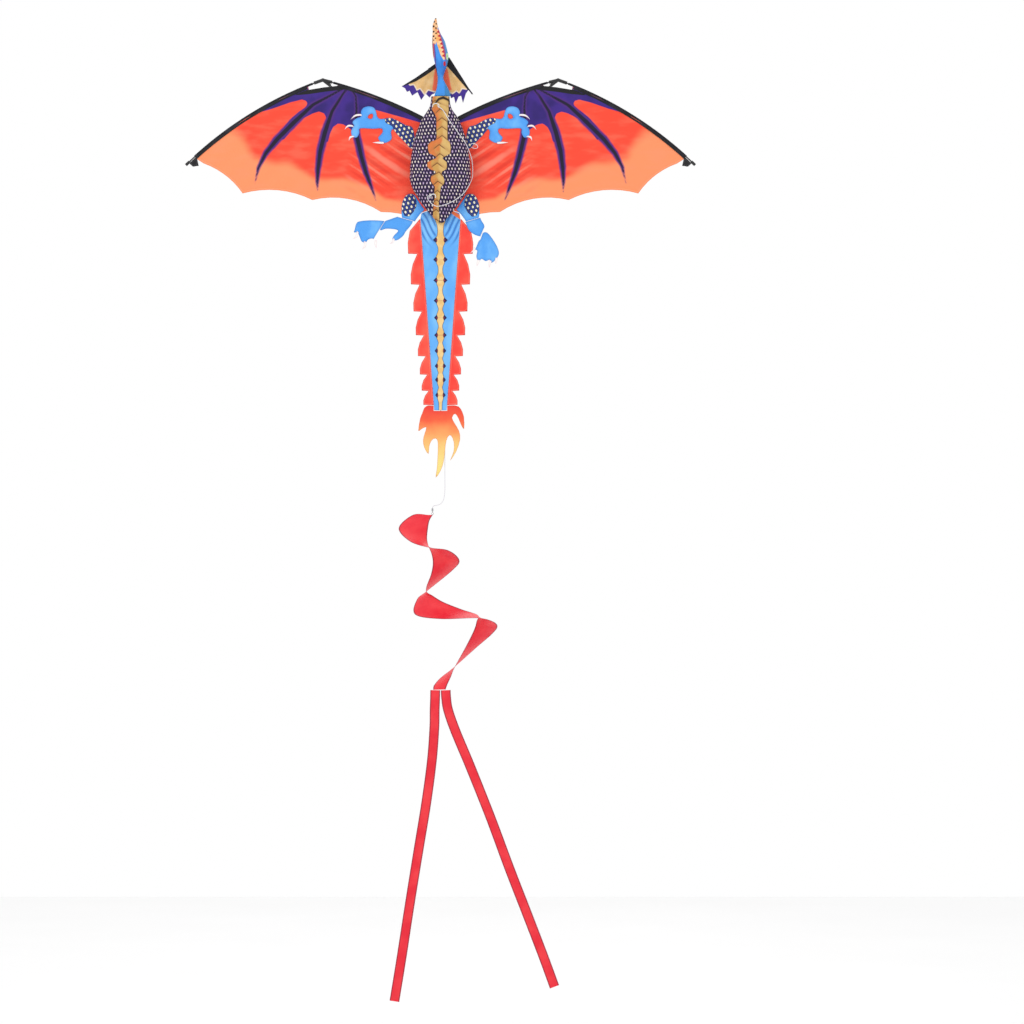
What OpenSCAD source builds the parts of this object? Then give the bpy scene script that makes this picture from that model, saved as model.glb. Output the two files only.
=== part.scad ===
// Dragon kite: a rod frame, a two-part wing sail, an air-filled body, a head with a
// frill, limbs of cut cloth, a stiffened tail, a spinning tail with two ribbons, and a
// bridle.
//
// X runs across the wings, +Z runs up the spine to the head, and the belly faces -Y.
// The origin is the centre of the chest cross, where the spreaders meet the spine.

/* [Wings] */
// Wing tip to wing tip
wing_span = 1400; // [1120:10:1680]
// Height of the wrist, where the two spars of a wing meet, above the chest cross
wrist_height = 236; // [200:1:280]
// Distance of the wrist from the spine
wrist_reach = 324; // [270:1:380]
// Height of the wing tip above the chest cross
tip_height = 3; // [-40:1:40]
// Bow of the inner spar
inner_bow = 11; // [4:1:16]
// Bow of the outer spar
outer_bow = 24; // [10:1:30]
// Depth of the scallops in the trailing edge
scallop_depth = 20; // [8:1:30]

/* [Frame] */
// Diameter of the wing spars and spreaders
spar_d = 4; // [3.2:0.1:5]
// Diameter of the spine rod
spine_d = 5; // [4:0.1:6]
// Wall of the moulded sockets
socket_wall = 2; // [1.6:0.1:3]
// Depth of the moulded sockets
socket_depth = 22; // [16:1:30]
// Distance of the wing fold line from the spine
fold_line = 14; // [12:0.5:18]
// Clearance round a rod in its socket or sleeve
rod_clearance = 0.4; // [0.3:0.05:0.6]
// Wall of the sewn sleeves
sleeve_wall = 0.8; // [0.6:0.1:1.2]
// Wall of the vinyl hinge tubes
tube_wall = 1.4; // [1:0.1:2]

/* [Cloth] */
// Thickness of the sail cloth with its hems
cloth_t = 0.8; // [0.6:0.1:1.2]
// Gap between two layers of cloth
layer_gap = 1; // [0.6:0.1:2]
// Height of the air-filled body
body_height = 66; // [50:1:85]
// Wall of the body and of the head
skin_t = 1.2; // [1:0.1:2]

/* [Tail] */
// Length of the tail below the body
tail_length = 528; // [430:1:630]
// Half the width of the tail at its top
tail_top_half = 55; // [45:1:62]
// Half the width of the tail at its end
tail_end_half = 17; // [14:1:22]
// Number of teeth on each side of the tail
tooth_count = 8; // [6:1:10]

/* [Spinning tail] */
// Thickness of the spiral with its bound edges
spiral_t = 1.2; // [1:0.1:2]
// Width of a ribbon
ribbon_w = 27; // [20:1:34]
// Thickness of a ribbon
ribbon_t = 0.8; // [0.6:0.1:1.2]

/* [Cords] */
// Diameter of the bridle line
bridle_d = 2; // [1.6:0.1:2.4]
// Diameter of the tail cord
tail_cord_d = 2; // [1.6:0.1:2.4]

/* [Hidden] */

$fn = 32;
LEFT = -1;
RIGHT = 1;

// Colours
black_cloth = "#17161b";
blue_cloth = "#3f9ae8";
gold_cloth = "#e0ae4e";
ivory_cloth = "#f4ece2";
navy_cloth = "#2b2350";
orange_cloth = "#f4703c";
red_cloth = "#ee3f3f";
rod_grey = "#2a2b2e";
vinyl_black = "#1c1c20";
steel_grey = "#9a9ca2";
line_white = "#f2f1ef";

// Rods
spar_r = spar_d / 2;
spine_r = spine_d / 2;
bore_r = spar_r + rod_clearance;
socket_r = bore_r + socket_wall;
sleeve_in_r = spar_r + rod_clearance;
sleeve_r = sleeve_in_r + sleeve_wall;
hinge_gap = 2.5;
stub_end = fold_line - hinge_gap;
rod_start = fold_line + hinge_gap;
tube_out_r = spar_r + 0.2 + tube_wall;
tube_reach = 20;

// Layers of cloth, from back to front: sail and tail, limbs, body
cross_r = spine_r + 0.1 + socket_wall;
sail_back = -(max(socket_r, cross_r) + 0.3);
sail_front = sail_back - cloth_t;
limb_back = sail_front - layer_gap;
limb_front = limb_back - cloth_t;
pouch_back = limb_front - layer_gap;

// Heights of the crosses on the spine
neck_z = 108;
chest_z = 0;
crest_z = 300;
cross_body_h = 22;
spine_top = 334;
tail_top = -146;
tail_end = tail_top - tail_length;
spine_bottom = tail_end + 12;
// What hangs below the tail moves with its end, and the bridle with the back of the body
below_tail = tail_end + 674;
belly_shift = pouch_back + 8.5;

// Wing frame
wrist = [wrist_reach, wrist_height];
tip = [wing_span / 2, tip_height];
inner_root = [rod_start, neck_z + 7];
spreader_root = [rod_start, chest_z + 1];

// ---------------------------------------------------------------- geometry helpers

function unit(v) = v / norm(v);
function left_normal(v) = [-v[1], v[0]];
function heading(v) = atan2(v[1], v[0]);

// An arc from p to q that bows to its left by bow: [centre, radius, start angle, sweep]
function arc(p, q, bow) =
    let (chord = q - p, half = norm(chord) / 2,
         radius = (half * half + bow * bow) / (2 * bow),
         centre = (p + q) / 2 - left_normal(unit(chord)) * (radius - bow),
         start = heading(p - centre), sweep = -2 * asin(half / radius))
    [centre, radius, start, sweep];

function arc_point(a, t, grow = 0) =
    a[0] + (a[1] + grow) * [cos(a[2] + a[3] * t), sin(a[2] + a[3] * t)];
function arc_heading(a, t) = a[2] + a[3] * t - 90;
function arc_points(a, t0, t1, grow, n) =
    [for (i = [0 : n]) arc_point(a, t0 + (t1 - t0) * i / n, grow)];

inner_arc = arc(inner_root, wrist, inner_bow);
outer_arc = arc(wrist, tip, outer_bow);
inner_length = abs(inner_arc[3]) * PI / 180 * inner_arc[1];
outer_length = abs(outer_arc[3]) * PI / 180 * outer_arc[1];

// A smooth closed outline through a few points, four steps to a span
function catmull(p0, p1, p2, p3, t) =
    0.5 * (2 * p1 + (p2 - p0) * t + (2 * p0 - 5 * p1 + 4 * p2 - p3) * t * t
        + (3 * p1 - p0 - 3 * p2 + p3) * t * t * t);
function smooth_closed(points, steps = 4) =
    let (n = len(points))
    [for (i = [0 : n - 1], s = [0 : steps - 1])
        catmull(points[(i + n - 1) % n], points[i], points[(i + 1) % n],
            points[(i + 2) % n], s / steps)];
function smooth_open(points, steps = 6) =
    let (n = len(points))
    concat([for (i = [0 : n - 2], s = [0 : steps - 1])
        catmull(points[max(i - 1, 0)], points[i], points[i + 1],
            points[min(i + 2, n - 1)], s / steps)], [points[n - 1]]);

// A flat piece of cloth: the outline lies in XZ, and its back is at y = back
module cloth(back, thickness = cloth_t) {
    translate([0, back, 0])
        rotate([90, 0, 0])
            linear_extrude(thickness) children();
}

// Turns a solid drawn along +Z so that it runs from p at an angle in the XZ plane
module along(p, angle) {
    translate([p[0], 0, p[1]])
        rotate([0, 90 - angle, 0]) children();
}

// Sweeps a round profile along part of an arc in the XZ plane
module arc_sweep(a, t0, t1) {
    start = a[2] + a[3] * t1;
    sweep = a[3] * (t0 - t1);
    translate([a[0][0], 0, a[0][1]])
        rotate([90, 0, 0])
            rotate([0, 0, start])
                rotate_extrude(angle = sweep, $fn = 180)
                    translate([a[1], 0]) children();
}

module mirrored(side) {
    if (side == LEFT)
        mirror([1, 0, 0]) children();
    else
        children();
}

// A solid through stations [z, half width, front y, back y, x]: rounded in section
function ring(s, n, inset) =
    let (w = max(s[1] - inset, 0.3), f = s[2] + inset, b = s[3] - inset,
         mid = (f + b) / 2, half = max((b - f) / 2, 0.3))
    [for (i = [0 : n - 1])
        let (a = 360 * i / n, c = cos(a), d = sin(a))
        [s[4] + w * sign(c) * pow(abs(c), 0.8), mid + half * sign(d) * pow(abs(d), 0.8), s[0]]];

module loft(stations, n = 24, inset = 0) {
    rings = [for (s = stations) each ring(s, n, inset)];
    m = len(stations);
    faces = concat(
        [[for (i = [n - 1 : -1 : 0]) i]],
        [for (k = [0 : m - 2], i = [0 : n - 1])
            let (j = (i + 1) % n)
            each [[k * n + i, k * n + j, (k + 1) * n + i],
                  [k * n + j, (k + 1) * n + j, (k + 1) * n + i]]],
        [[for (i = [0 : n - 1]) (m - 1) * n + i]]);
    polyhedron(rings, faces, convexity = 6);
}

// A flat ribbon or a round cord swept along points, with a section at each of them. The
// two broad faces of a ribbon are split the same way, so its thickness stays even.
module swept(sections) {
    n = len(sections[0]);
    m = len(sections);
    points = [for (s = sections) each s];
    faces = concat(
        [[for (i = [n - 1 : -1 : 0]) i]],
        [for (k = [0 : m - 2], i = [0 : n - 1])
            let (j = (i + 1) % n, a = k * n + i, b = k * n + j, c = a + n, d = b + n)
            each (i < n / 2 ? [[a, b, c], [b, d, c]] : [[a, b, d], [a, d, c]])],
        [[for (i = [0 : n - 1]) (m - 1) * n + i]]);
    polyhedron(points, faces, convexity = 10);
}

function tangent(p, i) =
    let (a = p[max(i - 1, 0)], b = p[min(i + 1, len(p) - 1)])
    (b - a) / norm(b - a);
function cord_sections(p, d, n = 8) =
    [for (i = [0 : len(p) - 1])
        let (t = tangent(p, i),
             u = unit(cross(t, abs(t[1]) < 0.8 ? [0, 1, 0] : [1, 0, 0])),
             v = cross(t, u))
        [for (k = [0 : n - 1])
            p[i] + d / 2 * (cos(360 * k / n) * u - sin(360 * k / n) * v)]];

// ---------------------------------------------------------------- spine and crosses

module spine_rod() {
    color(rod_grey)
        translate([0, 0, spine_bottom])
            cylinder(h = spine_top - spine_bottom, r = spine_r);
}

cap_wall = 1.2;
cap_length = 12;

module spine_end_caps() {
    color(vinyl_black)
        for (end = [[spine_top, 0], [spine_bottom, 180]])
            translate([0, 0, end[0]])
                rotate([end[1], 0, 0])
                    difference() {
                        translate([0, 0, -cap_length + cap_wall])
                            cylinder(h = cap_length, r = spine_r + 0.1 + cap_wall);
                        translate([0, 0, -cap_length])
                            cylinder(h = cap_length + 0.1, r = spine_r + 0.1);
                    }
}

// A moulded cross: a barrel on the spine with a stub to each side, which points at the
// rod it serves. stubs holds one [side, root of the rod, angle of the rod] for each.
module cross_fitting(z, h, stubs) {
    color(vinyl_black)
        difference() {
            union() {
                translate([0, 0, z - h / 2]) cylinder(h = h, r = cross_r);
                for (s = stubs)
                    mirrored(s[0])
                        intersection() {
                            along(s[1] - s[1][0] * [1, tan(s[2])], s[2])
                                cylinder(h = 2 * fold_line / cos(s[2]), r = spar_r);
                            translate([0, -10, z - 60])
                                cube([stub_end, 20, 120]);
                        }
            }
            translate([0, 0, z - h]) cylinder(h = 2 * h, r = spine_r + 0.1);
        }
}

inner_root_angle = arc_heading(inner_arc, 0);
spreader_angle = heading(wrist - spreader_root);
both_sides = [LEFT, RIGHT];

module neck_cross() {
    cross_fitting(neck_z, cross_body_h, [for (s = both_sides) [s, inner_root, inner_root_angle]]);
}

module chest_cross() {
    cross_fitting(chest_z, cross_body_h, [for (s = both_sides) [s, spreader_root, spreader_angle]]);
}

// A vinyl tube over a cross's stub and its rod's end, which bends at the fold line
module hinge_tube(root, angle) {
    inner_end = cross_r + 0.6 + tube_out_r * abs(tan(angle));
    run = (root[0] - inner_end) / cos(angle) + tube_reach;
    along(root, angle)
        translate([0, 0, tube_reach - run])
            difference() {
                cylinder(h = run, r = tube_out_r);
                translate([0, 0, -1]) cylinder(h = run + 2, r = tube_out_r - tube_wall);
            }
}

module hinge_tubes(side) {
    color(vinyl_black)
        mirrored(side) {
            hinge_tube(inner_root, inner_root_angle);
            hinge_tube(spreader_root, spreader_angle);
        }
}

sleeve_gap = 2;

// Cloth casings sewn behind the sail, one to each stretch of spine between the crosses
module spine_sleeve() {
    stretches = [
        [spine_bottom + cap_length + sleeve_gap, chest_z - cross_body_h / 2 - sleeve_gap],
        [chest_z + cross_body_h / 2 + sleeve_gap, neck_z - cross_body_h / 2 - sleeve_gap],
        [neck_z + cross_body_h / 2 + sleeve_gap, crest_z - crest_h / 2 - sleeve_gap]
    ];
    color(navy_cloth)
        for (s = stretches)
            translate([0, 0, s[0]])
                difference() {
                    cylinder(h = s[1] - s[0], r = spine_r + rod_clearance + sleeve_wall);
                    translate([0, 0, -1])
                        cylinder(h = s[1] - s[0] + 2, r = spine_r + rod_clearance);
                }
}

// ---------------------------------------------------------------- wings

wrist_cut = 44;
sleeve_cut = 30;
inner_cut = 1 - wrist_cut / inner_length;
outer_cut = wrist_cut / outer_length;
inner_clear = (tube_reach + 6) / inner_length;
outer_end = 1 - 30 / outer_length;
sail_drop = -(sleeve_r + 0.3);

cusps = [
    [wing_span * 0.389, -77],
    [wing_span * 0.252, -95],
    [wing_span * 0.117, -128],
    [86, -139]
];
sail_root = [fold_line + 4, tail_top + 30];
// The sail dips below the wrist, where the spars stay bare
wrist_dip = [wrist + [-38, -17], wrist + [-5, -20.5], wrist + [38, -27.5]];

function scallop(p, q, depth, n = 8) =
    let (a = arc(q, p, depth))
    [for (i = [1 : n]) arc_point(a, 1 - i / n)];

wing_outline = concat(
    [[sail_root[0], arc_point(inner_arc, inner_clear, sail_drop)[1] - 12]],
    arc_points(inner_arc, inner_clear, inner_cut, sail_drop, 10),
    wrist_dip,
    arc_points(outer_arc, outer_cut, outer_end, sail_drop, 14),
    scallop(arc_point(outer_arc, outer_end, sail_drop) + [-6, -10], cusps[0], scallop_depth * 0.7),
    scallop(cusps[0], cusps[1], scallop_depth * 0.9),
    scallop(cusps[1], cusps[2], scallop_depth),
    scallop(cusps[2], cusps[3], scallop_depth * 0.15, 3),
    [sail_root]);

module wing_sail(side) {
    color(orange_cloth)
        mirrored(side)
            cloth(sail_back) polygon(wing_outline);
}

module inner_spar(side) {
    color(rod_grey)
        mirrored(side)
            arc_sweep(inner_arc, 0, 1 - 6 / inner_length) circle(r = spar_r);
}

module outer_spar(side) {
    color(rod_grey)
        mirrored(side)
            arc_sweep(outer_arc, 6 / outer_length, 1) circle(r = spar_r);
}

module sleeve_profile() {
    difference() {
        circle(r = sleeve_r);
        circle(r = sleeve_in_r);
    }
}

module edge_sleeves(side) {
    color(black_cloth)
        mirrored(side) {
            arc_sweep(inner_arc, inner_clear, 1 - sleeve_cut / inner_length) sleeve_profile();
            arc_sweep(outer_arc, sleeve_cut / outer_length, outer_end - 2 / outer_length)
                sleeve_profile();
        }
}

spreader_back = 2.9 * spar_d;
spreader_end = wrist - unit(wrist - spreader_root) * spreader_back;

module spreader(side) {
    color(rod_grey)
        mirrored(side)
            along(spreader_root, spreader_angle)
                cylinder(h = norm(spreader_end - spreader_root), r = spar_r);
}

// The moulded angle at the wrist, with a socket for each of its three rods: heading of the
// socket, distance of its rod from the wrist, thickness added to its wall
module wrist_joint(side) {
    arms = [
        [arc_heading(inner_arc, 1) + 180, 6, 0],
        [arc_heading(outer_arc, 0), 6, 0.15],
        [spreader_angle + 180, spreader_back, -0.15]
    ];
    color(vinyl_black)
        mirrored(side)
            difference() {
                union() {
                    translate([wrist[0], 0, wrist[1]]) sphere(r = socket_r + 0.7, $fn = 48);
                    for (a = arms)
                        along(wrist, a[0]) cylinder(h = socket_depth + 4, r = socket_r + a[2]);
                }
                for (a = arms)
                    along(wrist, a[0])
                        translate([0, 0, a[1] - 0.5])
                            cylinder(h = socket_depth + 10, r = bore_r);
            }
}

pocket_length = 36;
pocket_width = 26;

// The doubled patch that takes the load at the wing tip, in front of the sail
module tip_pocket(side) {
    a = arc_point(outer_arc, 1 - pocket_length / outer_length, sail_drop);
    b = arc_point(outer_arc, 1 - 8 / outer_length, sail_drop);
    color(black_cloth)
        mirrored(side)
            cloth(sail_front - 0.1)
                polygon([a, b, b + [-10, -9], a + [-6, -pocket_width]]);
}

module tip_cap(side) {
    start = 1 - 12 / outer_length;
    angle = arc_heading(outer_arc, 1);
    color(vinyl_black)
        mirrored(side)
            difference() {
                along(arc_point(outer_arc, start), angle)
                    cylinder(h = 14, r = bore_r + 1.6);
                along(arc_point(outer_arc, start), angle)
                    translate([0, 0, -1])
                        cylinder(h = 13.4, r = bore_r);
            }
}

// The strip of sail behind the body that joins the two wings
module back_panel() {
    color(navy_cloth)
        cloth(sail_back)
            polygon([[-11, neck_z + 40], [11, neck_z + 40], [11, tail_top + 32], [-11, tail_top + 32]]);
}

// ---------------------------------------------------------------- arms and legs

arm_outline = smooth_closed([
    [70, 50], [76, 102], [96, 111], [123, 126], [140, 131], [165, 128], [174, 135], [177, 147],
    [183, 159], [197, 163], [212, 159], [219, 148], [219, 135], [231, 130], [240, 123], [242, 117],
    [238, 110], [242, 104], [246, 94], [244, 82], [237, 77], [229, 78], [223, 90], [221, 102],
    [186, 101], [163, 102], [159, 94], [163, 86], [171, 77], [166, 66], [155, 62], [144, 65],
    [134, 74], [136, 91], [131, 100], [119, 86], [97, 63], [82, 48]
], 3);
thumb_hole = smooth_closed([[200, 132], [196, 140], [187, 142], [186, 133], [192, 128]], 3);

module arm(side) {
    color(blue_cloth)
        mirrored(side)
            cloth(limb_back)
                difference() {
                    polygon(arm_outline);
                    polygon(thumb_hole);
                }
}

claw_back = limb_front - 0.3;

// A claw is a crescent from its root to its point, arched to one side
function claw_outline(root, point, arch, width) =
    let (v = point - root, n = left_normal(unit(v)))
    [for (i = [0 : 6])
        root + v * i / 6 + n * ((arch + width / 2) * sin(180 * i / 6) + width / 2 * (1 - i / 6)),
     for (i = [5 : -1 : 0])
        root + v * i / 6 + n * (arch * sin(180 * i / 6) - width / 2 * (1 - i / 6))];

arm_claws_at = [
    [[217, 139], [247, 126], 4, 5],
    [[240, 108], [264, 98], 5, 5],
    [[238, 80], [252, 67], 4, 5],
    [[156, 62], [187, 63], -1, 5]
];

module arm_claws(side) {
    color(ivory_cloth)
        mirrored(side)
            for (c = arm_claws_at)
                cloth(claw_back) polygon(claw_outline(c[0], c[1], c[2], c[3]));
}

thigh_outline = smooth_closed([
    [98, -87], [87, -79], [73, -81], [64, -93], [49, -115], [45, -122], [56, -134], [68, -150],
    [76, -162], [100, -158], [106, -142], [107, -124], [106, -106]
]);
shank_left_outline = smooth_closed([
    [-76, -152], [-84, -168], [-95, -181], [-104, -195], [-121, -206], [-132, -203], [-128, -193],
    [-117, -181], [-124, -176], [-149, -174], [-166, -178], [-156, -156], [-138, -148],
    [-121, -142], [-106, -138], [-88, -138]
]);
shank_right_outline = smooth_closed([
    [67, -146], [72, -164], [79, -179], [93, -190], [108, -195], [116, -196], [121, -168],
    [113, -152], [104, -136], [82, -134]
]);
foot_left_outline = smooth_closed([
    [-148, -160], [-156, -153], [-192, -151], [-223, -154], [-232, -161], [-236, -177],
    [-238, -184], [-228, -185], [-223, -195], [-217, -209], [-206, -212], [-199, -204],
    [-188, -201], [-180, -206], [-170, -202], [-167, -189], [-170, -181], [-155, -174]
]);
foot_right_outline = smooth_closed([
    [118, -185], [130, -186], [146, -206], [157, -226], [161, -242], [155, -256],
    [141, -268], [136, -260], [124, -263], [113, -257], [106, -265], [99, -252],
    [101, -234], [90, -230], [88, -217], [96, -208], [108, -206], [113, -196]
]);

// The knee seam, where a leg hangs from its thigh: a point of it and its slope
knee = [86, -150];
knee_slope = 16;
seam_gap = 1;
// The ankle seams, from shank to foot
ankle_left = [[-160.5, -165], 58];
ankle_right = [[113, -189], 67];

// Everything on one side of a seam: dir is 1 to its left as it runs, -1 to its right
module beside(at, slope, dir) {
    translate(at)
        rotate(slope)
            translate([-300, dir > 0 ? seam_gap / 2 : -300 - seam_gap / 2])
                square([600, 300]);
}

module thigh(side) {
    color(navy_cloth)
        mirrored(side)
            cloth(limb_back)
                intersection() {
                    polygon(thigh_outline);
                    beside(knee, knee_slope, 1);
                }
}

module shank_left() {
    color(blue_cloth)
        cloth(limb_back)
            intersection() {
                polygon(shank_left_outline);
                beside([-knee[0], knee[1]], -knee_slope, -1);
                beside(ankle_left[0], ankle_left[1], -1);
            }
}

module shank_right() {
    color(blue_cloth)
        cloth(limb_back)
            intersection() {
                polygon(shank_right_outline);
                beside(knee, knee_slope, -1);
                beside(ankle_right[0], ankle_right[1], 1);
            }
}

module foot_left() {
    color(blue_cloth)
        cloth(limb_back)
            intersection() {
                polygon(foot_left_outline);
                beside(ankle_left[0], ankle_left[1], 1);
            }
}

module foot_right() {
    color(blue_cloth)
        cloth(limb_back)
            intersection() {
                polygon(foot_right_outline);
                beside(ankle_right[0], ankle_right[1], -1);
            }
}

foot_claws_left_at = [
    [[-228, -182], [-242, -203], 3, 6], [[-208, -209], [-216, -231], 3, 6],
    [[-178, -206], [-176, -228], -3, 6], [[-128, -201], [-140, -216], 2, 5]
];
foot_claws_right_at = [
    [[155, -254], [152, -272], -2, 6], [[138, -262], [134, -282], -2, 6],
    [[106, -260], [100, -278], -2, 6], [[94, -226], [82, -240], 2, 5]
];

module foot_claws(claws) {
    color(ivory_cloth)
        for (c = claws)
            cloth(claw_back) polygon(claw_outline(c[0], c[1], c[2], c[3]));
}

// ---------------------------------------------------------------- body and head

body_shape = [
    [188, 25, 0.42], [158, 30, 0.55], [126, 50, 0.75], [92, 64, 0.9], [57, 74, 1],
    [0, 82, 1], [-50, 82, 0.95], [-93, 60, 0.75], [-128, 34, 0.45], [-158, 8, 0.15]
];
body_stations = [for (s = smooth_open(body_shape, 3))
    [s[0], s[1], pouch_back - body_height * s[2], pouch_back, 0]];

module body_pouch() {
    color(navy_cloth)
        difference() {
            loft(body_stations, 28);
            loft([for (i = [1 : len(body_stations) - 2]) body_stations[i]], 28, skin_t);
        }
}

// Stations of the head: [z, half width, front y, back y, x]
head_shape = [
    [404, 2, -20, -14, -12.5], [385, 6.8, -26, -10, -14.2], [364, 10.5, -33, -8, -11],
    [342, 17, -39, -8, -5.4], [320, 19.7, -45, -8, -1.8], [299, 20.8, -48, -8, 1.5],
    [277, 16.8, -46, -8, 2.3], [258, 12, -40, -8, 1], [238, 7.8, -34, -8, 0.6],
    [212, 15.5, -30, -8, 5.5], [192, 22.5, -28, -9, 6]
];

module head_shell() {
    color(blue_cloth)
        translate([0, belly_shift, 0])
            difference() {
                loft(smooth_open(head_shape, 3), 24);
                loft([for (s = smooth_open(head_shape, 3)) if (s[0] < 380 && s[0] > 196) s], 24, skin_t);
            }
}

// The frill: a short wing on each side of the head. Each spar droops from the crest
// cross: [height where its line meets the spine, slope, x of its outer end]
frill_lines = [[287, -35, 72], [314, -53, 88]];
crest_h = 42;
frill_spar_r = spar_r;

function frill_line(side) = frill_lines[side == LEFT ? 0 : 1];
function frill_root(side) =
    let (l = frill_line(side)) [rod_start, l[0] + rod_start * tan(l[1])];

module crest_cross() {
    cross_fitting(crest_z, crest_h, [for (s = both_sides) [s, frill_root(s), frill_line(s)[1]]]);
}

frill_left_outline = [
    [18, 284], [70, 240.5], [107, 218], [98, 213], [92, 202.5], [85, 206], [78, 192.5],
    [63, 202], [53, 180.5], [41, 198], [30, 187], [24, 195], [18, 203]
];
frill_right_outline = [
    [18, 302], [25, 297], [90, 194], [77, 208], [70, 198], [62, 172], [57, 192],
    [50, 190], [42, 170.5], [37, 189], [29, 185], [24, 204], [18, 219]
];

module frill(side) {
    color(gold_cloth)
        mirrored(side)
            cloth(sail_back)
                polygon(side == LEFT ? frill_left_outline : frill_right_outline);
}

module frill_spar(side) {
    root = frill_root(side);
    color(rod_grey)
        mirrored(side)
            along(root, frill_line(side)[1])
                cylinder(h = (frill_line(side)[2] - root[0]) / cos(frill_line(side)[1]), r = frill_spar_r);
}

module frill_tubes() {
    color(vinyl_black)
        for (side = both_sides)
            mirrored(side)
                hinge_tube(frill_root(side), frill_line(side)[1]);
}

// ---------------------------------------------------------------- tail

// The panel narrows above its widest line, behind the body
tail_neck = 13;

module tail_panel() {
    color(blue_cloth)
        cloth(sail_back)
            polygon([[-tail_top_half, tail_top], [-tail_top_half + 3, tail_top + 15],
                [-tail_neck, tail_top + 28], [tail_neck, tail_top + 28],
                [tail_top_half - 3, tail_top + 15], [tail_top_half, tail_top],
                [tail_end_half, tail_end], [-tail_end_half, tail_end]]);
}

function tail_half(z) = tail_end_half + (tail_top_half - tail_end_half) * (z - tail_end) / tail_length;
// Teeth get shorter towards the end, by a constant ratio
tooth_ratio = 0.88;
tooth_sum = (1 - pow(tooth_ratio, tooth_count)) / (1 - tooth_ratio);
fringe_top = tail_top - 2;
fringe_length = tail_length - 16;
function tooth_z(i) = fringe_top - fringe_length * (1 - pow(tooth_ratio, i)) / (1 - tooth_ratio) / tooth_sum;
function tooth_reach(i) = 41 - 1.7 * i;

fringe_outline = concat(
    [[tail_half(tail_top) + 0.3, fringe_top]],
    [for (i = [0 : tooth_count - 1])
        let (top = tooth_z(i), low = tooth_z(i + 1), out = tooth_reach(i),
             start = i == 0 ? 3 : out * 0.42)
        each [
            [tail_half(top) + start, top],
            [tail_half((top * 2 + low) / 3) + out * 0.78, (top * 2 + low) / 3],
            [tail_half((top + 2 * low) / 3) + out * 0.97, (top + 2 * low) / 3],
            [tail_half(low) + out, low + 1]
        ]],
    [[tail_half(tooth_z(tooth_count)) + 0.3, tooth_z(tooth_count)]]);

module tail_fringe(side) {
    color(red_cloth)
        mirrored(side)
            cloth(sail_back) polygon(fringe_outline);
}

pocket_h = 24;

module tail_rod_pocket() {
    color(blue_cloth)
        cloth(spine_r + 0.1 + cap_wall + 0.3 + cloth_t)
            translate([0, tail_end])
                polygon([[-11, pocket_h], [11, pocket_h], [9, 2], [-9, 2]]);
}

flame_top = tail_end - 1.5;
flame_points = [
    [-34, 15], [-44, 9], [-50, -6], [-56, -22], [-61, -55], [-52, -50], [-39, -45], [-44, -64],
    [-48, -82], [-44, -102], [-33, -119], [-31, -98], [-24, -81], [-13, -76], [-7, -88],
    [-8, -131], [-10, -161], [-13, -184], [1, -164], [10, -134], [14, -95], [20, -72],
    [29, -68], [37, -87], [36, -113], [26, -138], [43, -113], [54, -79], [51, -55], [39, -34],
    [32, -19], [40, -8], [49, -20], [57, -39], [65, -50], [65, -22], [60, -2], [50, 12], [36, 15]
];
// The flame's shoulders rise beside the end of the tail, clear of its fringe
flame_notch = tail_end_half + 1.5;

module tail_flame() {
    color(orange_cloth)
        cloth(sail_back)
            translate([0, flame_top])
                polygon(concat(
                    [[flame_notch, 14.5], [flame_notch, 0], [-flame_notch, 0], [-flame_notch, 14.5]],
                    smooth_open(flame_points, 2)));
}

// ---------------------------------------------------------------- spinning tail

spin_x = -22;
swivel_top = -944;
barrel_r = 2.6;
barrel_h = 8;
tail_cord_route = [
    [0, 0, spine_bottom - cap_wall - below_tail], [0, 0.5, -668], [2, 2, -685], [6, 4, -705],
    [11, 5, -740], [12, 4, -790], [12, 2, -850], [12, 1, -895], [9, 0, -918],
    [2, 0, -930], [-8, 0, -935], [-17, 0, -936.5], [-21.5, 0, -940], [spin_x, 0, swivel_top]
];

module tail_cord() {
    color(line_white)
        translate([0, 0, below_tail])
            swept(cord_sections(tail_cord_route, tail_cord_d));
}

module swivel_barrel() {
    color(steel_grey)
        translate([spin_x, 0, swivel_top - barrel_h + below_tail])
            difference() {
                cylinder(h = barrel_h, r = barrel_r);
                translate([0, 0, -1]) cylinder(h = barrel_h - 1.5, r = 1.1);
            }
}

// The pin that turns in the barrel, with the ring that the spiral hangs from
module swivel_eye() {
    color(steel_grey) {
        translate([spin_x, 0, swivel_top - barrel_h - 4 + below_tail])
            cylinder(h = barrel_h + 1, r = 1.05);
        translate([spin_x, 0, swivel_top - barrel_h - 6.5 + below_tail])
            rotate([90, 0, 0])
                rotate_extrude() translate([2.8, 0]) circle(r = 0.6);
    }
}

// The spiral's two edges, station by station down the tail:
// [x, z of the inner edge, then x, y, z of the outer edge, which winds round it]
spiral_edges = [
    [-22, -962, -34, 12, -962], [-31, -978, -77, 38, -962], [-35, -1002, -115, 0, -998],
    [-37, -1027, -83, -52, -1034], [-33, -1047, -30, -75, -1051], [-24, -1070, 22, -56, -1059],
    [-21, -1095, 52, -10, -1086], [-26, -1125, 33, 46, -1114], [-40, -1169, -38, 75, -1172],
    [-20, -1186, -66, 50, -1196], [10, -1203, -70, 0, -1236], [58, -1222, 0, -45, -1247],
    [103, -1238, 99, -72, -1244], [100, -1255, 140, -58, -1252], [96, -1270, 157, -20, -1268],
    [85, -1295, 140, 28, -1292], [67, -1330, 99, 55, -1328], [38, -1383, 36, 62, -1384],
    [28, -1408, 0, 50, -1412], [19, -1428, -18, 20, -1432], [14, -1443, -20, 0, -1443]
];
spiral_path = smooth_open(spiral_edges, 4);

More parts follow.
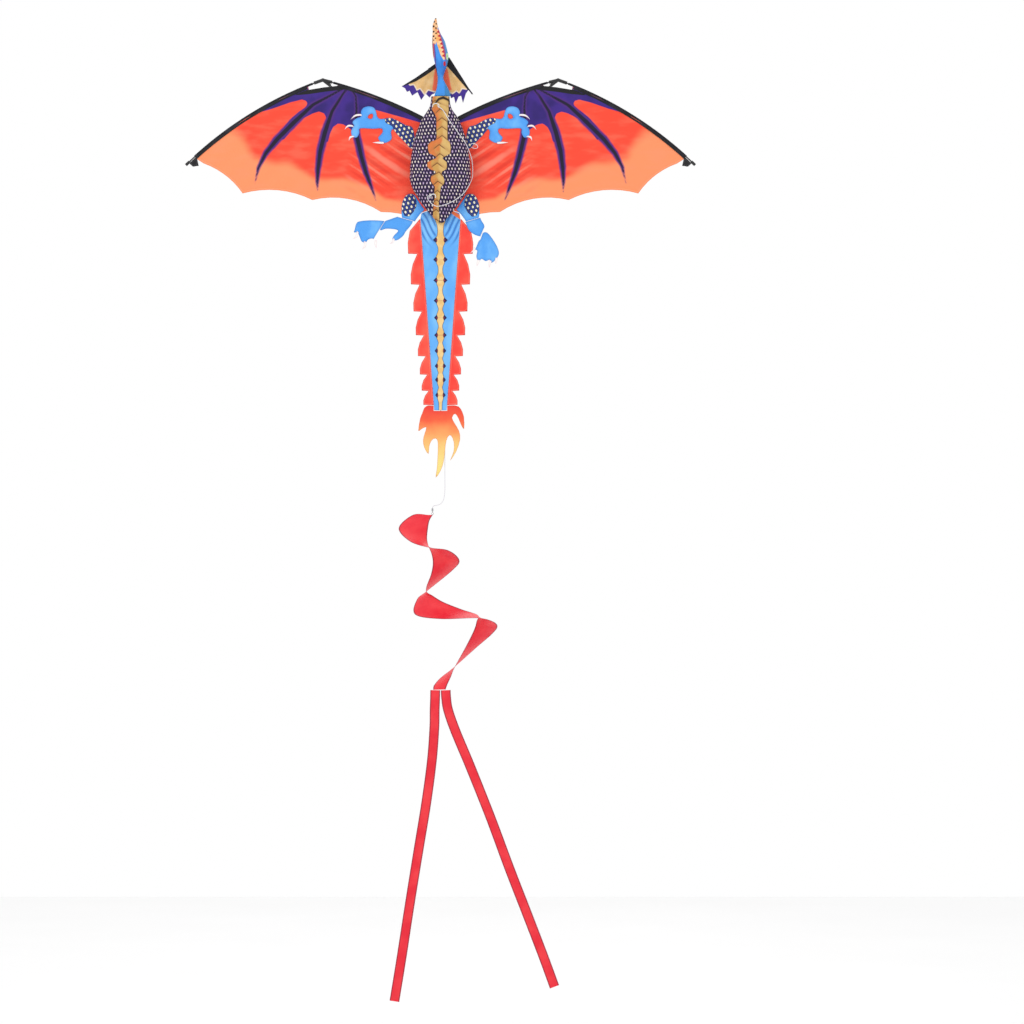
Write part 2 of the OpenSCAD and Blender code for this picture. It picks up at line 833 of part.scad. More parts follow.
function spiral_inner(i) = [spiral_path[i][0], 0, spiral_path[i][1]];
function spiral_outer(i) = [spiral_path[i][2], spiral_path[i][3], spiral_path[i][4]];
function spiral_middle(i) = (spiral_inner(i) + spiral_outer(i)) / 2;

function spiral_section(i) =
    let (last = len(spiral_path) - 1,
         along_it = spiral_middle(min(i + 1, last)) - spiral_middle(max(i - 1, 0)),
         n = unit(cross(spiral_outer(i) - spiral_inner(i), along_it)) * spiral_t / 2)
    [spiral_inner(i) - n, spiral_outer(i) - n, spiral_outer(i) + n, spiral_inner(i) + n];

module spinner() {
    color(red_cloth)
        translate([0, 0, below_tail])
            swept([for (i = [0 : len(spiral_path) - 1]) spiral_section(i)]);
}

// Ribbons: [x, y, z, twist] down the middle of each
ribbon_left_route = smooth_open([
    [-14.5, 0, -1444.8, 0], [-15, -2, -1470, 3], [-16, -5, -1500, 6], [-17, -3, -1550, 8],
    [-24, 2, -1640, 10], [-40, 6, -1760, 4], [-63, 2, -1900, -6], [-87, -5, -2050, -10],
    [-107, -4, -2180, -4], [-127, 2, -2302, 6]
], 3);
ribbon_right_route = smooth_open([
    [14.5, 0, -1444.8, 0], [15.5, 1, -1465, 4], [21, 5, -1500, 10], [42, 6, -1560, 4],
    [84, 0, -1660, -6], [136, -6, -1790, -10], [188, -4, -1930, -2], [238, 3, -2060, 8],
    [284, 4, -2180, 10], [314, 0, -2262, 4]
], 3);

function ribbon_section(route, i) =
    let (p = [for (r = route) [r[0], r[1], r[2]]], t = tangent(p, i), a = route[i][3],
         side = unit(cross(t, [0, 1, 0])), w = (side * cos(a) + [0, 1, 0] * sin(a)) * ribbon_w / 2,
         n = unit(cross(t, side)) * ribbon_t / 2)
    [p[i] - w - n, p[i] - w + n, p[i] + w + n, p[i] + w - n];

module ribbon(route) {
    color(red_cloth)
        translate([0, 0, below_tail])
            swept([for (i = [0 : len(route) - 1]) ribbon_section(route, i)]);
}

// ---------------------------------------------------------------- bridle

tab_points = [
    [-9, pouch_back - 0.636 * body_height, 162],
    [-20, pouch_back - 0.853 * body_height, -88]
];

// Short webbing loops sewn to the belly, where the bridle is tied
module bridle_tabs() {
    color(line_white)
        for (p = tab_points)
            translate(p)
                rotate([0, 90, 0])
                    rotate_extrude() translate([4, 0]) circle(r = 1.1);
}

bridle_route = [
    [-8, -57, 160], [8, -60, 147], [22, -64, 124], [40, -67, 98], [56, -68, 76],
    [70, -62, 56], [80, -50, 34], [87, -40, 12], [89, -34, -14], [87, -36, -38],
    [77, -52, -62], [62, -55, -82], [42, -57, -98], [22, -55, -108], [4, -52, -114],
    [-12, -53, -115], [-26, -58, -106], [-34, -64, -96], [-33, -67, -89], [-23, -68, -88]
];
tow_loop_route = [
    [80, -58, 52], [88, -56, 56], [97, -54, 55], [103, -53, 49], [101, -53, 44],
    [94, -54, 43], [86, -56, 46]
];

module bridle_line() {
    color(line_white)
        translate([0, belly_shift, 0])
            swept(cord_sections(smooth_open(bridle_route, 3), bridle_d));
}

module tow_loop() {
    color(line_white)
        translate([0, belly_shift, 0])
            swept(cord_sections(smooth_open(tow_loop_route, 3), bridle_d * 0.8));
}

// ---------------------------------------------------------------- output

spine_rod();
spine_end_caps();
neck_cross();
chest_cross();
crest_cross();
spine_sleeve();
back_panel();
body_pouch();
head_shell();
tail_panel();
tail_fringe(LEFT);  // tail_fringe_left
tail_fringe(RIGHT);  // tail_fringe_right
tail_rod_pocket();
thigh(LEFT);  // thigh_left
thigh(RIGHT);  // thigh_right
bridle_tabs();
bridle_line();
tow_loop();
hinge_tubes(LEFT);  // hinge_tubes_left
hinge_tubes(RIGHT);  // hinge_tubes_right
frill_tubes();
wing_sail(LEFT);  // wing_sail_left
inner_spar(LEFT);  // inner_spar_left
outer_spar(LEFT);  // outer_spar_left
edge_sleeves(LEFT);  // edge_sleeves_left
wrist_joint(LEFT);  // wrist_joint_left
tip_pocket(LEFT);  // tip_pocket_left
tip_cap(LEFT);  // tip_cap_left
spreader(LEFT);  // spreader_left
arm(LEFT);  // arm_left
arm_claws(LEFT);  // arm_claws_left
wing_sail(RIGHT);  // wing_sail_right
inner_spar(RIGHT);  // inner_spar_right
outer_spar(RIGHT);  // outer_spar_right
edge_sleeves(RIGHT);  // edge_sleeves_right
wrist_joint(RIGHT);  // wrist_joint_right
tip_pocket(RIGHT);  // tip_pocket_right
tip_cap(RIGHT);  // tip_cap_right
spreader(RIGHT);  // spreader_right
arm(RIGHT);  // arm_right
arm_claws(RIGHT);  // arm_claws_right
frill(LEFT);  // frill_left
frill_spar(LEFT);  // frill_spar_left
frill(RIGHT);  // frill_right
frill_spar(RIGHT);  // frill_spar_right
shank_left();
shank_right();
foot_left();
foot_right();
foot_claws(foot_claws_left_at);  // foot_claws_left
foot_claws(foot_claws_right_at);  // foot_claws_right
tail_flame();
tail_cord();
swivel_barrel();
swivel_eye();
spinner();
ribbon(ribbon_left_route);  // ribbon_left
ribbon(ribbon_right_route);  // ribbon_right
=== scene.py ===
import math

import bpy
import numpy as np
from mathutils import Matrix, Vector
from mathutils.geometry import delaunay_2d_cdt


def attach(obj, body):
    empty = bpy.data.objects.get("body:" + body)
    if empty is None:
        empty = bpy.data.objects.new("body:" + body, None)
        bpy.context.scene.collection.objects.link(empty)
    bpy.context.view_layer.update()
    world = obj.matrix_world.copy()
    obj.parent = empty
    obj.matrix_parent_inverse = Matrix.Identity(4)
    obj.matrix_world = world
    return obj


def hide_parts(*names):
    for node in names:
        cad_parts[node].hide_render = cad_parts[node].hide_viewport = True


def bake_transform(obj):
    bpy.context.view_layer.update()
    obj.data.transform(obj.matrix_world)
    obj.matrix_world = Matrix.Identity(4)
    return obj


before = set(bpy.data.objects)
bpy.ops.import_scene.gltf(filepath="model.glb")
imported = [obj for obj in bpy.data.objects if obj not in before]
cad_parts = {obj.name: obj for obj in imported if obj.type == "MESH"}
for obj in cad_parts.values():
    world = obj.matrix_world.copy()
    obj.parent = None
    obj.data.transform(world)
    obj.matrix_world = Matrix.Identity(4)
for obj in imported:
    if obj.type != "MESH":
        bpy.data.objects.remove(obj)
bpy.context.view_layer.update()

bpy.ops.object.select_all(action="DESELECT")
MM = 0.001


# ------------------------------------------------------------------ finishes
class Reading:
    """A number that varies over a surface. Sums with it add Math nodes."""

    def __init__(self, paint, socket):
        self.paint, self.socket = paint, socket

    def _sum(self, how, other, turned=False):
        pair = (other, self) if turned else (self, other)
        return self.paint.number(how, *pair)

    def __add__(self, other):
        return self._sum("ADD", other)

    def __sub__(self, other):
        return self._sum("SUBTRACT", other)

    def __rsub__(self, other):
        return self._sum("SUBTRACT", other, True)

    def __mul__(self, other):
        return self._sum("MULTIPLY", other)

    def __truediv__(self, other):
        return self._sum("DIVIDE", other)

    def __rtruediv__(self, other):
        return self._sum("DIVIDE", other, True)

    __radd__ = __add__
    __rmul__ = __mul__

    def least(self, other):
        return self._sum("MINIMUM", other)

    def most(self, other):
        return self._sum("MAXIMUM", other)

    def power(self, other):
        return self._sum("POWER", other)

    def part(self):
        return self.paint.number("FRACT", self)

    def whole(self):
        return self.paint.number("FLOOR", self)

    def size(self):
        return self.paint.number("ABSOLUTE", self)

    def wave(self):
        return self.paint.number("SINE", self)

    def dashes(self, pitch, low=0.40, high=0.30):
        """1 on dashes laid end to end at this pitch, 0 between them."""
        return ((self / pitch).part() - 0.5).size().over(low, high)

    def over(self, low, high):
        """0 below low, 1 above high, smooth between. High may be the lower one."""
        settings = {"interpolation_type": "SMOOTHSTEP"}
        turned = high < low
        ends = (high, low) if turned else (low, high)
        n = self.paint.node("MapRange", settings, {"Value": self, "From Min": ends[0], "From Max": ends[1]})
        mask = Reading(self.paint, n.outputs[0])
        return 1 - mask if turned else mask


class Paint:
    """One finish: a principled surface with what varies on it read from nodes."""

    def __init__(self, name, **even):
        self.material = bpy.data.materials.new(name)
        self.material.use_nodes = True
        self.tree = self.material.node_tree
        self.surface = next(n for n in self.tree.nodes if n.type == "BSDF_PRINCIPLED")
        for key, value in even.items():
            self.surface.inputs[key.replace("_", " ")].default_value = value
        self._place = None

    def node(self, kind, settings=None, sockets=None):
        n = self.tree.nodes.new("ShaderNode" + kind)
        for key, value in (settings or {}).items():
            if key == "stops":
                for i, (at, colour) in enumerate(value):
                    stop = n.color_ramp.elements[i] if i < 2 else n.color_ramp.elements.new(at)
                    stop.position, stop.color = at, (*colour, 1)
            else:
                setattr(n, key, value)
        for key, value in (sockets or {}).items():
            self.join(value, n.inputs[key])
        return n

    def join(self, value, socket):
        if isinstance(value, Reading):
            value = value.socket
        if isinstance(value, bpy.types.NodeSocket):
            self.tree.links.new(value, socket)
        elif isinstance(value, tuple) and socket.type == "RGBA":
            socket.default_value = (*value[:3], 1)
        else:
            socket.default_value = value

    def number(self, how, *values):
        n = self.node("Math", {"operation": how}, dict(enumerate(values)))
        return Reading(self, n.outputs[0])

    def mark(self, name):
        """A value stored on the mesh, in millimetres."""
        n = self.node("Attribute", {"attribute_name": name})
        return Reading(self, n.outputs["Fac"])

    def place(self):
        """x, y and z of the surface in millimetres."""
        if self._place is None:
            where = self.node("TexCoord").outputs["Object"]
            parts = self.node("SeparateXYZ", None, {0: where}).outputs
            self._place = (where, [Reading(self, s) * 1000 for s in parts])
        return self._place[1]

    def across(self):
        """u and v of the piece's own map in millimetres."""
        where = self.node("UVMap", {"uv_map": "cut"}).outputs[0]
        parts = self.node("SeparateXYZ", None, {0: where}).outputs
        return Reading(self, parts[0]) * 1000, Reading(self, parts[1]) * 1000

    def grain(self, scale, detail=3.0, stretch=None):
        """Noise from 0 to 1 on the surface's place."""
        self.place()
        where = self._place[0]
        if stretch:
            where = self.node("VectorMath", {"operation": "MULTIPLY"}, {0: where, 1: stretch}).outputs[0]
        n = self.node("TexNoise", None, {"Vector": where, "Scale": scale, "Detail": detail})
        return Reading(self, n.outputs[0])

    def uneven(self, rough, amount, scale=40):
        """A roughness that wanders a little."""
        return rough + (self.grain(scale, 2) - 0.5) * amount

    def mix(self, first, second, mask):
        n = self.node("Mix", {"data_type": "RGBA"}, {0: mask, 6: first, 7: second})
        return n.outputs[2]

    def layers(self, base, *laid):
        for colour, mask in laid:
            base = self.mix(base, colour, mask)
        return base

    def ripstop(self):
        """Height of a ripstop weave with the small crumples of thin nylon, in millimetres."""
        x, _, z = self.place()
        rib = x.dashes(5, 0.07, 0.02).most(z.dashes(5, 0.07, 0.02))
        return rib * 0.05 + self.grain(45, 4) * 0.9 + self.grain(800, 1) * 0.06

    def stitches(self, inset=4.0, pitch=3.6):
        """A row of stitches that runs round a cut edge."""
        row = (self.mark("edge") - inset).size().over(0.75, 0.35)
        return row * self.mark("run").dashes(pitch)

    def hem(self, inset):
        """The dip along the fold of a hem."""
        return (self.mark("edge") - inset).size().over(1.2, 0.2)

    def finish(self, colour, rough=0.55, height=None):
        self.join(colour, self.surface.inputs["Base Color"])
        self.join(rough, self.surface.inputs["Roughness"])
        if height is not None:
            bump = self.node("Bump", None, {"Strength": 0.9, "Distance": MM, "Height": height})
            self.join(bump.outputs[0], self.surface.inputs["Normal"])
        return self.material


def ovals(u, v, step_u, step_v, half_u, half_v):
    """How far out of the nearest printed oval a point lies: 0 at its middle, 1 at its rim."""
    row = (v / step_v).whole()
    shift = (row * 0.5).part()
    du = ((u / step_u + shift).part() - 0.5) * step_u / half_u
    dv = ((v / step_v).part() - 0.5) * step_v / half_v
    return (du * du + dv * dv).power(0.5)


CLOTH = {"Specular_IOR_Level": 0.22}


def sail_finish():
    p = Paint("printed_sail_nylon", **CLOTH)
    red, amber = (0.93, 0.068, 0.034), (0.96, 0.290, 0.125)
    warm = (p.mark("warm") + (p.grain(9, 3, (1, 1, 2.5)) - 0.5) * 0.35).over(0.15, 0.85)
    ground = p.mix(red, amber, warm)
    streak = p.grain(14, 3, (1, 1, 3.2)).over(0.42, 0.72)
    ground = p.mix(ground, (0.98, 0.30, 0.18), streak * 0.22)
    # Painted highlight on the crests of the tension folds and painted shade in their troughs, on the red
    # ground.
    fold = p.mark("fold") + (p.grain(30, 2) - 0.5) * 0.5
    ground = p.mix(ground, (0.98, 0.34, 0.24), fold.over(0.25, 1.0) * 0.55)
    ground = p.mix(ground, (0.62, 0.020, 0.012), fold.over(-0.2, -1.0) * 0.50)
    violet = p.mix((0.050, 0.020, 0.23), (0.030, 0.014, 0.15), p.grain(16, 2).over(0.4, 0.65))
    # Painted highlight on the fold crests over the violet print too.
    violet = p.mix(violet, (0.14, 0.075, 0.40), fold.over(0.3, 1.0) * 0.6)
    soft = (p.grain(60, 2) - 0.5) * 3
    colour = p.layers(
        ground,
        (violet, (p.mark("violet") + soft * 0.3).over(-1.2, 1.2)),
        ((0.075, 0.022, 0.20), (p.mark("halo") + soft).over(-3.0, 3.5)),
        ((0.012, 0.009, 0.028), (p.mark("finger") + soft * 0.4).over(-1.4, 1.6)),
        ((0.55, 0.16, 0.08), p.mark("edge").over(1.6, 0.6) * 0.5),
        ((0.95, 0.45, 0.30), p.stitches() * 0.6),
        ((0.012, 0.012, 0.014), p.mark("brace").over(-0.4, 0.4)),
    )
    return p.finish(colour, 0.42 + p.grain(30, 2) * 0.2, p.ripstop() - p.hem(7) * 0.25 + p.stitches() * 0.2)


def plain_cloth(name, colour, other, rough=0.55):
    p = Paint(name, **CLOTH)
    tint = p.mix(colour, other, p.grain(22, 4).over(0.35, 0.75))
    return p.finish(tint, p.uneven(rough, 0.15), p.ripstop())


def hemmed_cloth(name, colour, other, thread):
    p = Paint(name, **CLOTH)
    tint = p.mix(colour, other, p.grain(18, 4).over(0.35, 0.75))
    tint = p.layers(
        tint,
        (tuple(c * 0.45 for c in other), p.mark("edge").over(1.3, 0.5) * 0.8),
        (thread, p.stitches(3.2) * 0.7),
    )
    return p.finish(tint, p.uneven(0.5, 0.15), p.ripstop() - p.hem(5.6) * 0.25)


def sleeve_finish():
    p = Paint("sewn_spar_sleeve", **CLOTH)
    u, v = p.across()
    row = (u - 7.2).size().over(0.7, 0.3) * v.dashes(3.6)
    weave = ((u / 1.3).part() - 0.5).size() * 0.10 + ((v / 1.3).part() - 0.5).size() * 0.10
    tint = p.mix((0.010, 0.010, 0.013), (0.030, 0.028, 0.040), p.grain(30, 3).over(0.4, 0.8))
    tint = p.mix(tint, (0.10, 0.10, 0.12), row * 0.8)
    return p.finish(tint, 0.62, weave + p.grain(60, 3) * 0.5)


def rod_finish():
    p = Paint("fibreglass_rod", Coat_Weight=0.25, Coat_Roughness=0.2)
    drawn = p.grain(260, 2, (0.06, 1, 0.06))
    tint = p.mix((0.012, 0.012, 0.014), (0.045, 0.045, 0.05), drawn.over(0.45, 0.75))
    return p.finish(tint, 0.30 + drawn * 0.2, drawn * 0.05)


def vinyl_finish():
    p = Paint("moulded_vinyl", Specular_IOR_Level=0.45)
    worn = p.grain(120, 3).over(0.55, 0.75)
    tint = p.mix((0.013, 0.013, 0.014), (0.04, 0.04, 0.043), worn)
    return p.finish(tint, 0.42 + worn * 0.2, p.grain(500, 2) * 0.06 + p.grain(60, 2) * 0.1)


def steel_finish():
    p = Paint("swivel_steel", Metallic=1.0)
    scratch = p.grain(900, 2, (1, 1, 0.1))
    tint = p.mix((0.50, 0.50, 0.52), (0.30, 0.30, 0.31), scratch)
    return p.finish(tint, 0.25 + scratch * 0.2, scratch * 0.02)


def line_finish(name, colour, shade):
    p = Paint(name, Sheen_Weight=0.2)
    u, v = p.across()
    turn = u * 2.2 + v * 1.8
    other = v * 1.8 - u * 2.2
    strand = turn.wave() * other.wave()
    # The grooves between the strands take the darker shade colour as painted shade; the strands keep the
    # cord's own colour.
    return p.finish(p.mix(shade, colour, strand.over(-0.5, 0.3)), 0.7, strand * 0.09)


def body_finish():
    p = Paint("scaled_body_nylon", **CLOTH)
    z = p.place()[2]
    u, v = p.across()
    bent = u + v * 0.10 + (p.grain(30, 2) - 0.5) * 10
    tall = v + (p.grain(26, 2) - 0.5) * 9
    out = ovals(bent, tall, step_u=9.4, step_v=9.8, half_u=1.9, half_v=3.2)
    hue = p.grain(90, 1).over(0.42, 0.60)
    pale = p.mix((0.84, 0.76, 0.66), (0.50, 0.36, 0.58), hue)
    ground = p.layers(
        (0.016, 0.009, 0.030),
        ((0.045, 0.016, 0.115), out.over(2.2, 1.5) * 0.9),
        ((0.010, 0.006, 0.014), out.over(1.6, 1.2)),
    )
    skin = p.mix(ground, pale, out.over(1.06, 0.86))
    belly = p.mark("belly")
    side = p.mark("side")
    plate = (z + side.size() * 0.75) / 25
    step = plate.part()
    gold = p.mix((0.58, 0.33, 0.09), (0.66, 0.19, 0.05), (p.grain(28, 3) + side * -0.012).over(0.45, 0.66))
    gold = p.mix(gold, (0.70, 0.48, 0.18), (side * 0.06 + p.grain(40, 2) - 0.2).over(0.3, 0.7) * 0.7)
    seam = step.over(0.20, 0.08) * step.over(0.0, 0.03) * side.size().over(19, 10)
    gold = p.mix(gold, (0.06, 0.025, 0.010), seam * 0.95)
    gold = p.mix(gold, (0.40, 0.16, 0.05), step.over(0.55, 0.15) * 0.35)
    colour = p.layers(
        skin,
        ((0.010, 0.006, 0.012), belly.over(-1.8, -0.8)),
        (gold, belly.over(-0.5, 0.5)),
        # Painted shade round the pouch's inlet, and a dark arc of painted shade for its open mouth, which
        # the closed skin does not have.
        ((0.30, 0.17, 0.05), p.mark("inlet").over(-4, 0) * 0.6),
        ((0.02, 0.012, 0.01), p.mark("inlet").over(-0.8, 0.8)),
    )
    return p.finish(colour, p.uneven(0.5, 0.2), p.ripstop() + p.grain(18, 3) * 1.4)


def head_finish():
    p = Paint("printed_head_nylon", **CLOTH)
    tint = p.mix((0.055, 0.29, 0.80), (0.02, 0.13, 0.52), p.grain(32, 3, (1, 1, 0.4)).over(0.45, 0.72))
    crown = p.mix((0.045, 0.22, 0.50), (0.10, 0.34, 0.66), p.grain(60, 3, (1, 1, 0.3)).over(0.4, 0.65))
    tint = p.mix(tint, crown, p.mark("crown").over(-1.5, 1.5))
    tan = p.mix((0.78, 0.34, 0.13), (0.88, 0.55, 0.30), p.grain(60, 2).over(0.4, 0.65))
    peach = p.mix((0.93, 0.42, 0.12), (0.93, 0.62, 0.36), p.grain(90, 2).over(0.4, 0.65))
    colour = p.layers(
        tint,
        ((0.08, 0.035, 0.26), p.mark("rim").over(-0.6, 0.6)),
        ((0.015, 0.010, 0.03), p.mark("shade").over(-0.8, 0.6)),
        ((0.52, 0.075, 0.12), p.mark("cheek").over(-0.8, 0.8)),
        (tan, p.mark("jaw").over(-0.5, 0.5)),
        ((0.16, 0.02, 0.03), p.mark("lip").over(-0.4, 0.6)),
        (peach, p.mark("teeth").over(-0.4, 0.4)),
        ((0.50, 0.020, 0.040), p.mark("gum").over(-0.4, 0.4)),
        ((0.17, 0.13, 0.36), p.mark("line").over(-0.4, 0.4)),
        ((0.045, 0.018, 0.012), p.mark("spots").over(-0.4, 0.5)),
        ((0.50, 0.78, 0.40), p.mark("eye").over(-0.4, 0.4)),
        ((0.20, 0.30, 0.10), p.mark("eye").over(1.9, 2.3)),
    )
    return p.finish(colour, p.uneven(0.48, 0.2), p.ripstop() + p.grain(30, 3) * 0.8)


def frill_finish():
    p = Paint("printed_frill_nylon", **CLOTH)
    tan = p.mix((0.70, 0.42, 0.16), (0.80, 0.55, 0.28), p.grain(40, 3).over(0.4, 0.7))
    ragged = (p.grain(70, 2) - 0.5) * 7
    colour = p.layers(
        tan,
        ((0.85, 0.13, 0.06), (p.mark("root") + ragged * 0.5).over(-2.5, 2.5)),
        ((0.86, 0.80, 0.70), (p.mark("rag") + ragged * 0.4).over(-4.5, -2.0) * 0.6),
        ((0.055, 0.026, 0.26), (p.mark("rag") + ragged * 0.4).over(-0.8, 0.8)),
        ((0.008, 0.008, 0.010), p.mark("band").over(-0.7, 0.7)),
        ((0.02, 0.01, 0.06), p.mark("edge").over(1.0, 0.4) * 0.6),
    )
    return p.finish(colour, 0.52, p.ripstop() + p.stitches(2.6) * 0.15)


def limb_finish():
    p = Paint("printed_limb_nylon", **CLOTH)
    x, _, z = p.place()
    blue = p.mix((0.085, 0.35, 0.86), (0.17, 0.48, 0.93), p.grain(22, 3, (1, 1, 0.6)).over(0.40, 0.70))
    blue = p.mix(blue, (0.03, 0.16, 0.55), p.mark("edge").over(7, 1) * 0.30)
    out = ovals(x + z * 0.25, z - x * 0.2, step_u=13.5, step_v=11.5, half_u=3.0, half_v=3.9)
    cream = p.mix((0.90, 0.84, 0.60), (0.80, 0.80, 0.76), p.grain(90, 1).over(0.45, 0.6))
    scale = p.layers(
        (0.028, 0.050, 0.26),
        ((0.008, 0.008, 0.02), out.over(1.75, 1.35)),
        (cream, out.over(1.06, 0.90)),
    )
    colour = p.layers(
        blue,
        ((0.01, 0.01, 0.03), p.mark("patch").over(-1.4, -0.6)),
        (scale, p.mark("patch").over(-0.4, 0.4)),
        ((0.04, 0.12, 0.40), p.mark("edge").over(1.2, 0.5) * 0.7),
    )
    return p.finish(colour, p.uneven(0.48, 0.15), p.ripstop() + p.stitches(2.6) * 0.15)


def claw_finish():
    p = Paint("claw_cloth", **CLOTH)
    tint = p.mix((0.90, 0.87, 0.84), (0.80, 0.60, 0.66), p.mark("edge").over(1.6, 0.4) * 0.7)
    return p.finish(tint, 0.5, p.ripstop())


def tail_finish():
    p = Paint("printed_tail_nylon", **CLOTH)
    z = p.place()[2]
    blue = p.mix((0.12, 0.41, 0.89), (0.20, 0.52, 0.94), p.grain(20, 3, (1, 1, 0.5)).over(0.38, 0.68))
    # Painted shade: dark streaks along the creases at the top of the tail.
    crease_shade = p.grain(55, 3, (1, 1, 0.22)).over(0.52, 0.70) * z.over(-250, -170)
    blue = p.mix(blue, (0.035, 0.15, 0.52), crease_shade * 0.55)
    # Painted shade in the troughs of the pleats and painted highlight on their crests.
    blue = p.mix(blue, (0.025, 0.12, 0.46), p.mark("pleat").over(0.1, -0.9) * 0.75)
    blue = p.mix(blue, (0.33, 0.62, 0.95), p.mark("pleat").over(0.4, 1.0) * 0.5)
    gold = p.mix((0.80, 0.50, 0.18), (0.86, 0.62, 0.29), p.grain(50, 2).over(0.4, 0.65))
    bone = p.mark("bone")
    colour = p.layers(
        blue,
        ((0.020, 0.018, 0.085), p.mark("spur").over(-0.5, 0.5)),
        ((0.42, 0.02, 0.05), p.mark("spur_heart").over(-0.5, 0.5)),
        ((0.030, 0.025, 0.05), bone.over(-2.0, -0.9) * 0.9),
        (gold, bone.over(-0.4, 0.4)),
        ((0.45, 0.22, 0.08), p.mark("joint").over(-0.3, 0.3) * bone.over(0, 1) * 0.6),
        ((0.05, 0.13, 0.40), p.mark("edge").over(1.5, 0.7) * 0.6),
        ((0.93, 0.20, 0.07), p.mark("tuck").over(-0.6, 0.6)),
    )
    return p.finish(colour, 0.48, p.ripstop() + p.stitches(3.2) * 0.15)


def flame_finish():
    p = Paint("flame_nylon", **CLOTH)
    z = p.place()[2]
    drop = (z * -1 - 665 + (p.grain(20, 3) - 0.5) * 40) / 190
    ramp = p.node(
        "ValToRGB",
        {
            "stops": [
                (0.0, (0.84, 0.055, 0.040)),
                (0.80, (0.93, 0.72, 0.24)),
                (0.18, (0.89, 0.12, 0.050)),
                (0.33, (0.94, 0.30, 0.10)),
                (0.52, (0.95, 0.54, 0.18)),
            ]
        },
        {0: drop},
    )
    colour = p.mix(ramp.outputs[0], (0.55, 0.10, 0.03), p.mark("edge").over(1.4, 0.6) * 0.55)
    return p.finish(colour, 0.48, p.ripstop() + p.stitches(3.0) * 0.15)


def ribbon_finish(name, width):
    p = Paint(name, **CLOTH)
    u, v = p.across()
    inset = u.least(width - u)
    tint = p.mix((0.78, 0.020, 0.040), (0.88, 0.050, 0.062), p.grain(16, 4).over(0.35, 0.7))
    hem = inset.over(3.2, 2.6)
    row = (inset - 1.6).size().over(0.5, 0.2) * v.dashes(3.2)
    tint = p.layers(tint, ((0.25, 0.008, 0.030), hem * 0.9), ((0.60, 0.10, 0.12), row * 0.7))
    return p.finish(tint, p.uneven(0.45, 0.15, 30), p.grain(40, 4) * 1.0 + hem * 0.3)


# ------------------------------------------------------------------ flat cuts of cloth
def spans(loops):
    starts = np.concatenate(loops)
    ends = np.concatenate([np.roll(loop, -1, axis=0) for loop in loops])
    return starts, ends


def near_edge(at, loops):
    """Distance from each point to the nearest edge, and how far along the edge that is."""
    starts, ends = spans(loops)
    way = ends - starts
    length = np.hypot(way[:, 0], way[:, 1]) + 1e-9
    begun = np.concatenate([[0], np.cumsum(length)[:-1]])
    best, run = np.full(len(at), 1e9), np.zeros(len(at))
    for s, w, n, b in zip(starts, way, length, begun):
        t = np.clip(((at - s) @ w) / (n * n), 0, 1)
        far = np.hypot(*(at - s - t[:, None] * w).T)
        closer = far < best
        best[closer], run[closer] = far[closer], (b + t * n)[closer]
    return best, run


def within(at, loops):
    starts, ends = spans(loops)
    odd = np.zeros(len(at), bool)
    for (x0, z0), (x1, z1) in zip(starts, ends):
        if z0 != z1:
            crosses = (z0 > at[:, 1]) != (z1 > at[:, 1])
            odd ^= crosses & (at[:, 0] < (x1 - x0) * (at[:, 1] - z0) / (z1 - z0) + x0)
    return odd


def inside(at, shape):
    """Depth of each point in a closed shape, negative outside it."""
    loops = [np.array(shape, float)]
    return np.where(within(at, loops), 1, -1) * near_edge(at, loops)[0]


def stroke(at, line):
    """Depth of each point in a tapered stroke through [x, z, half width]."""
    best = np.full(len(at), -1e3)
    for a, b in zip(line, line[1:]):
        a, b = np.array(a, float), np.array(b, float)
        w = (b - a)[:2]
        t = np.clip(((at - a[:2]) @ w) / (w @ w), 0, 1)
        far = np.hypot(*(at - a[:2] - t[:, None] * w).T)
        best = np.maximum(best, a[2] + (b[2] - a[2]) * t - far)
    return best


def mirrored(at):
    """The points with those of the left side laid over the right side."""
    return np.abs(at * [1, 0]) + at * [0, 1]


def smooth(value, low, high):
    t = np.clip((value - low) / (high - low), 0, 1)
    return t * t * (3 - 2 * t)


def outlines(node):
    """The closed outlines of a flat CAD node as its front shows them, in millimetres."""
    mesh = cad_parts[node].data
    at = np.array([v.co for v in mesh.vertices]) / MM
    front = at[:, 1] < at[:, 1].min() + 0.05
    key = [tuple(k) for k in np.round(at[:, [0, 2]] * 50).astype(int)]
    follows = {}
    for face in mesh.polygons:
        if all(front[i] for i in face.vertices):
            corners = [key[i] for i in face.vertices]
            for a, b in zip(corners, corners[1:] + corners[:1]):
                if follows.get(b) is not None and a in follows[b]:
                    follows[b].remove(a)
                else:
                    follows.setdefault(a, []).append(b)
    loops = []
    while any(follows.values()):
        start = next(k for k, v in follows.items() if v)
        loop, here = [], start
        while follows.get(here):
            loop.append(here)
            here = follows[here].pop()
        loops.append(np.array(loop) / 50.0)
    return [loop for loop in loops if len(loop) > 2]


def select(piece):
    bpy.ops.object.select_all(action="DESELECT")
    piece.select_set(True)
    bpy.context.view_layer.objects.active = piece


def new_piece(name, mesh, paint):
    piece = bpy.data.objects.new(name, mesh)
    bpy.context.collection.objects.link(piece)
    mesh.materials.append(paint)
    return piece


def store(mesh, marks):
    """Keeps values on the vertices for the finishes to read."""
    for mark, values in marks.items():
        layer = mesh.attributes.new(mark, "FLOAT", "POINT")
        layer.data.foreach_set("value", np.asarray(values, np.float32))


def hand_over(piece, node, body):
    """Hides the CAD node the piece stands in for and hangs the piece on the body it rides on."""
    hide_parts(node)
    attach(piece, body)


def no_marks(at):
    return {}


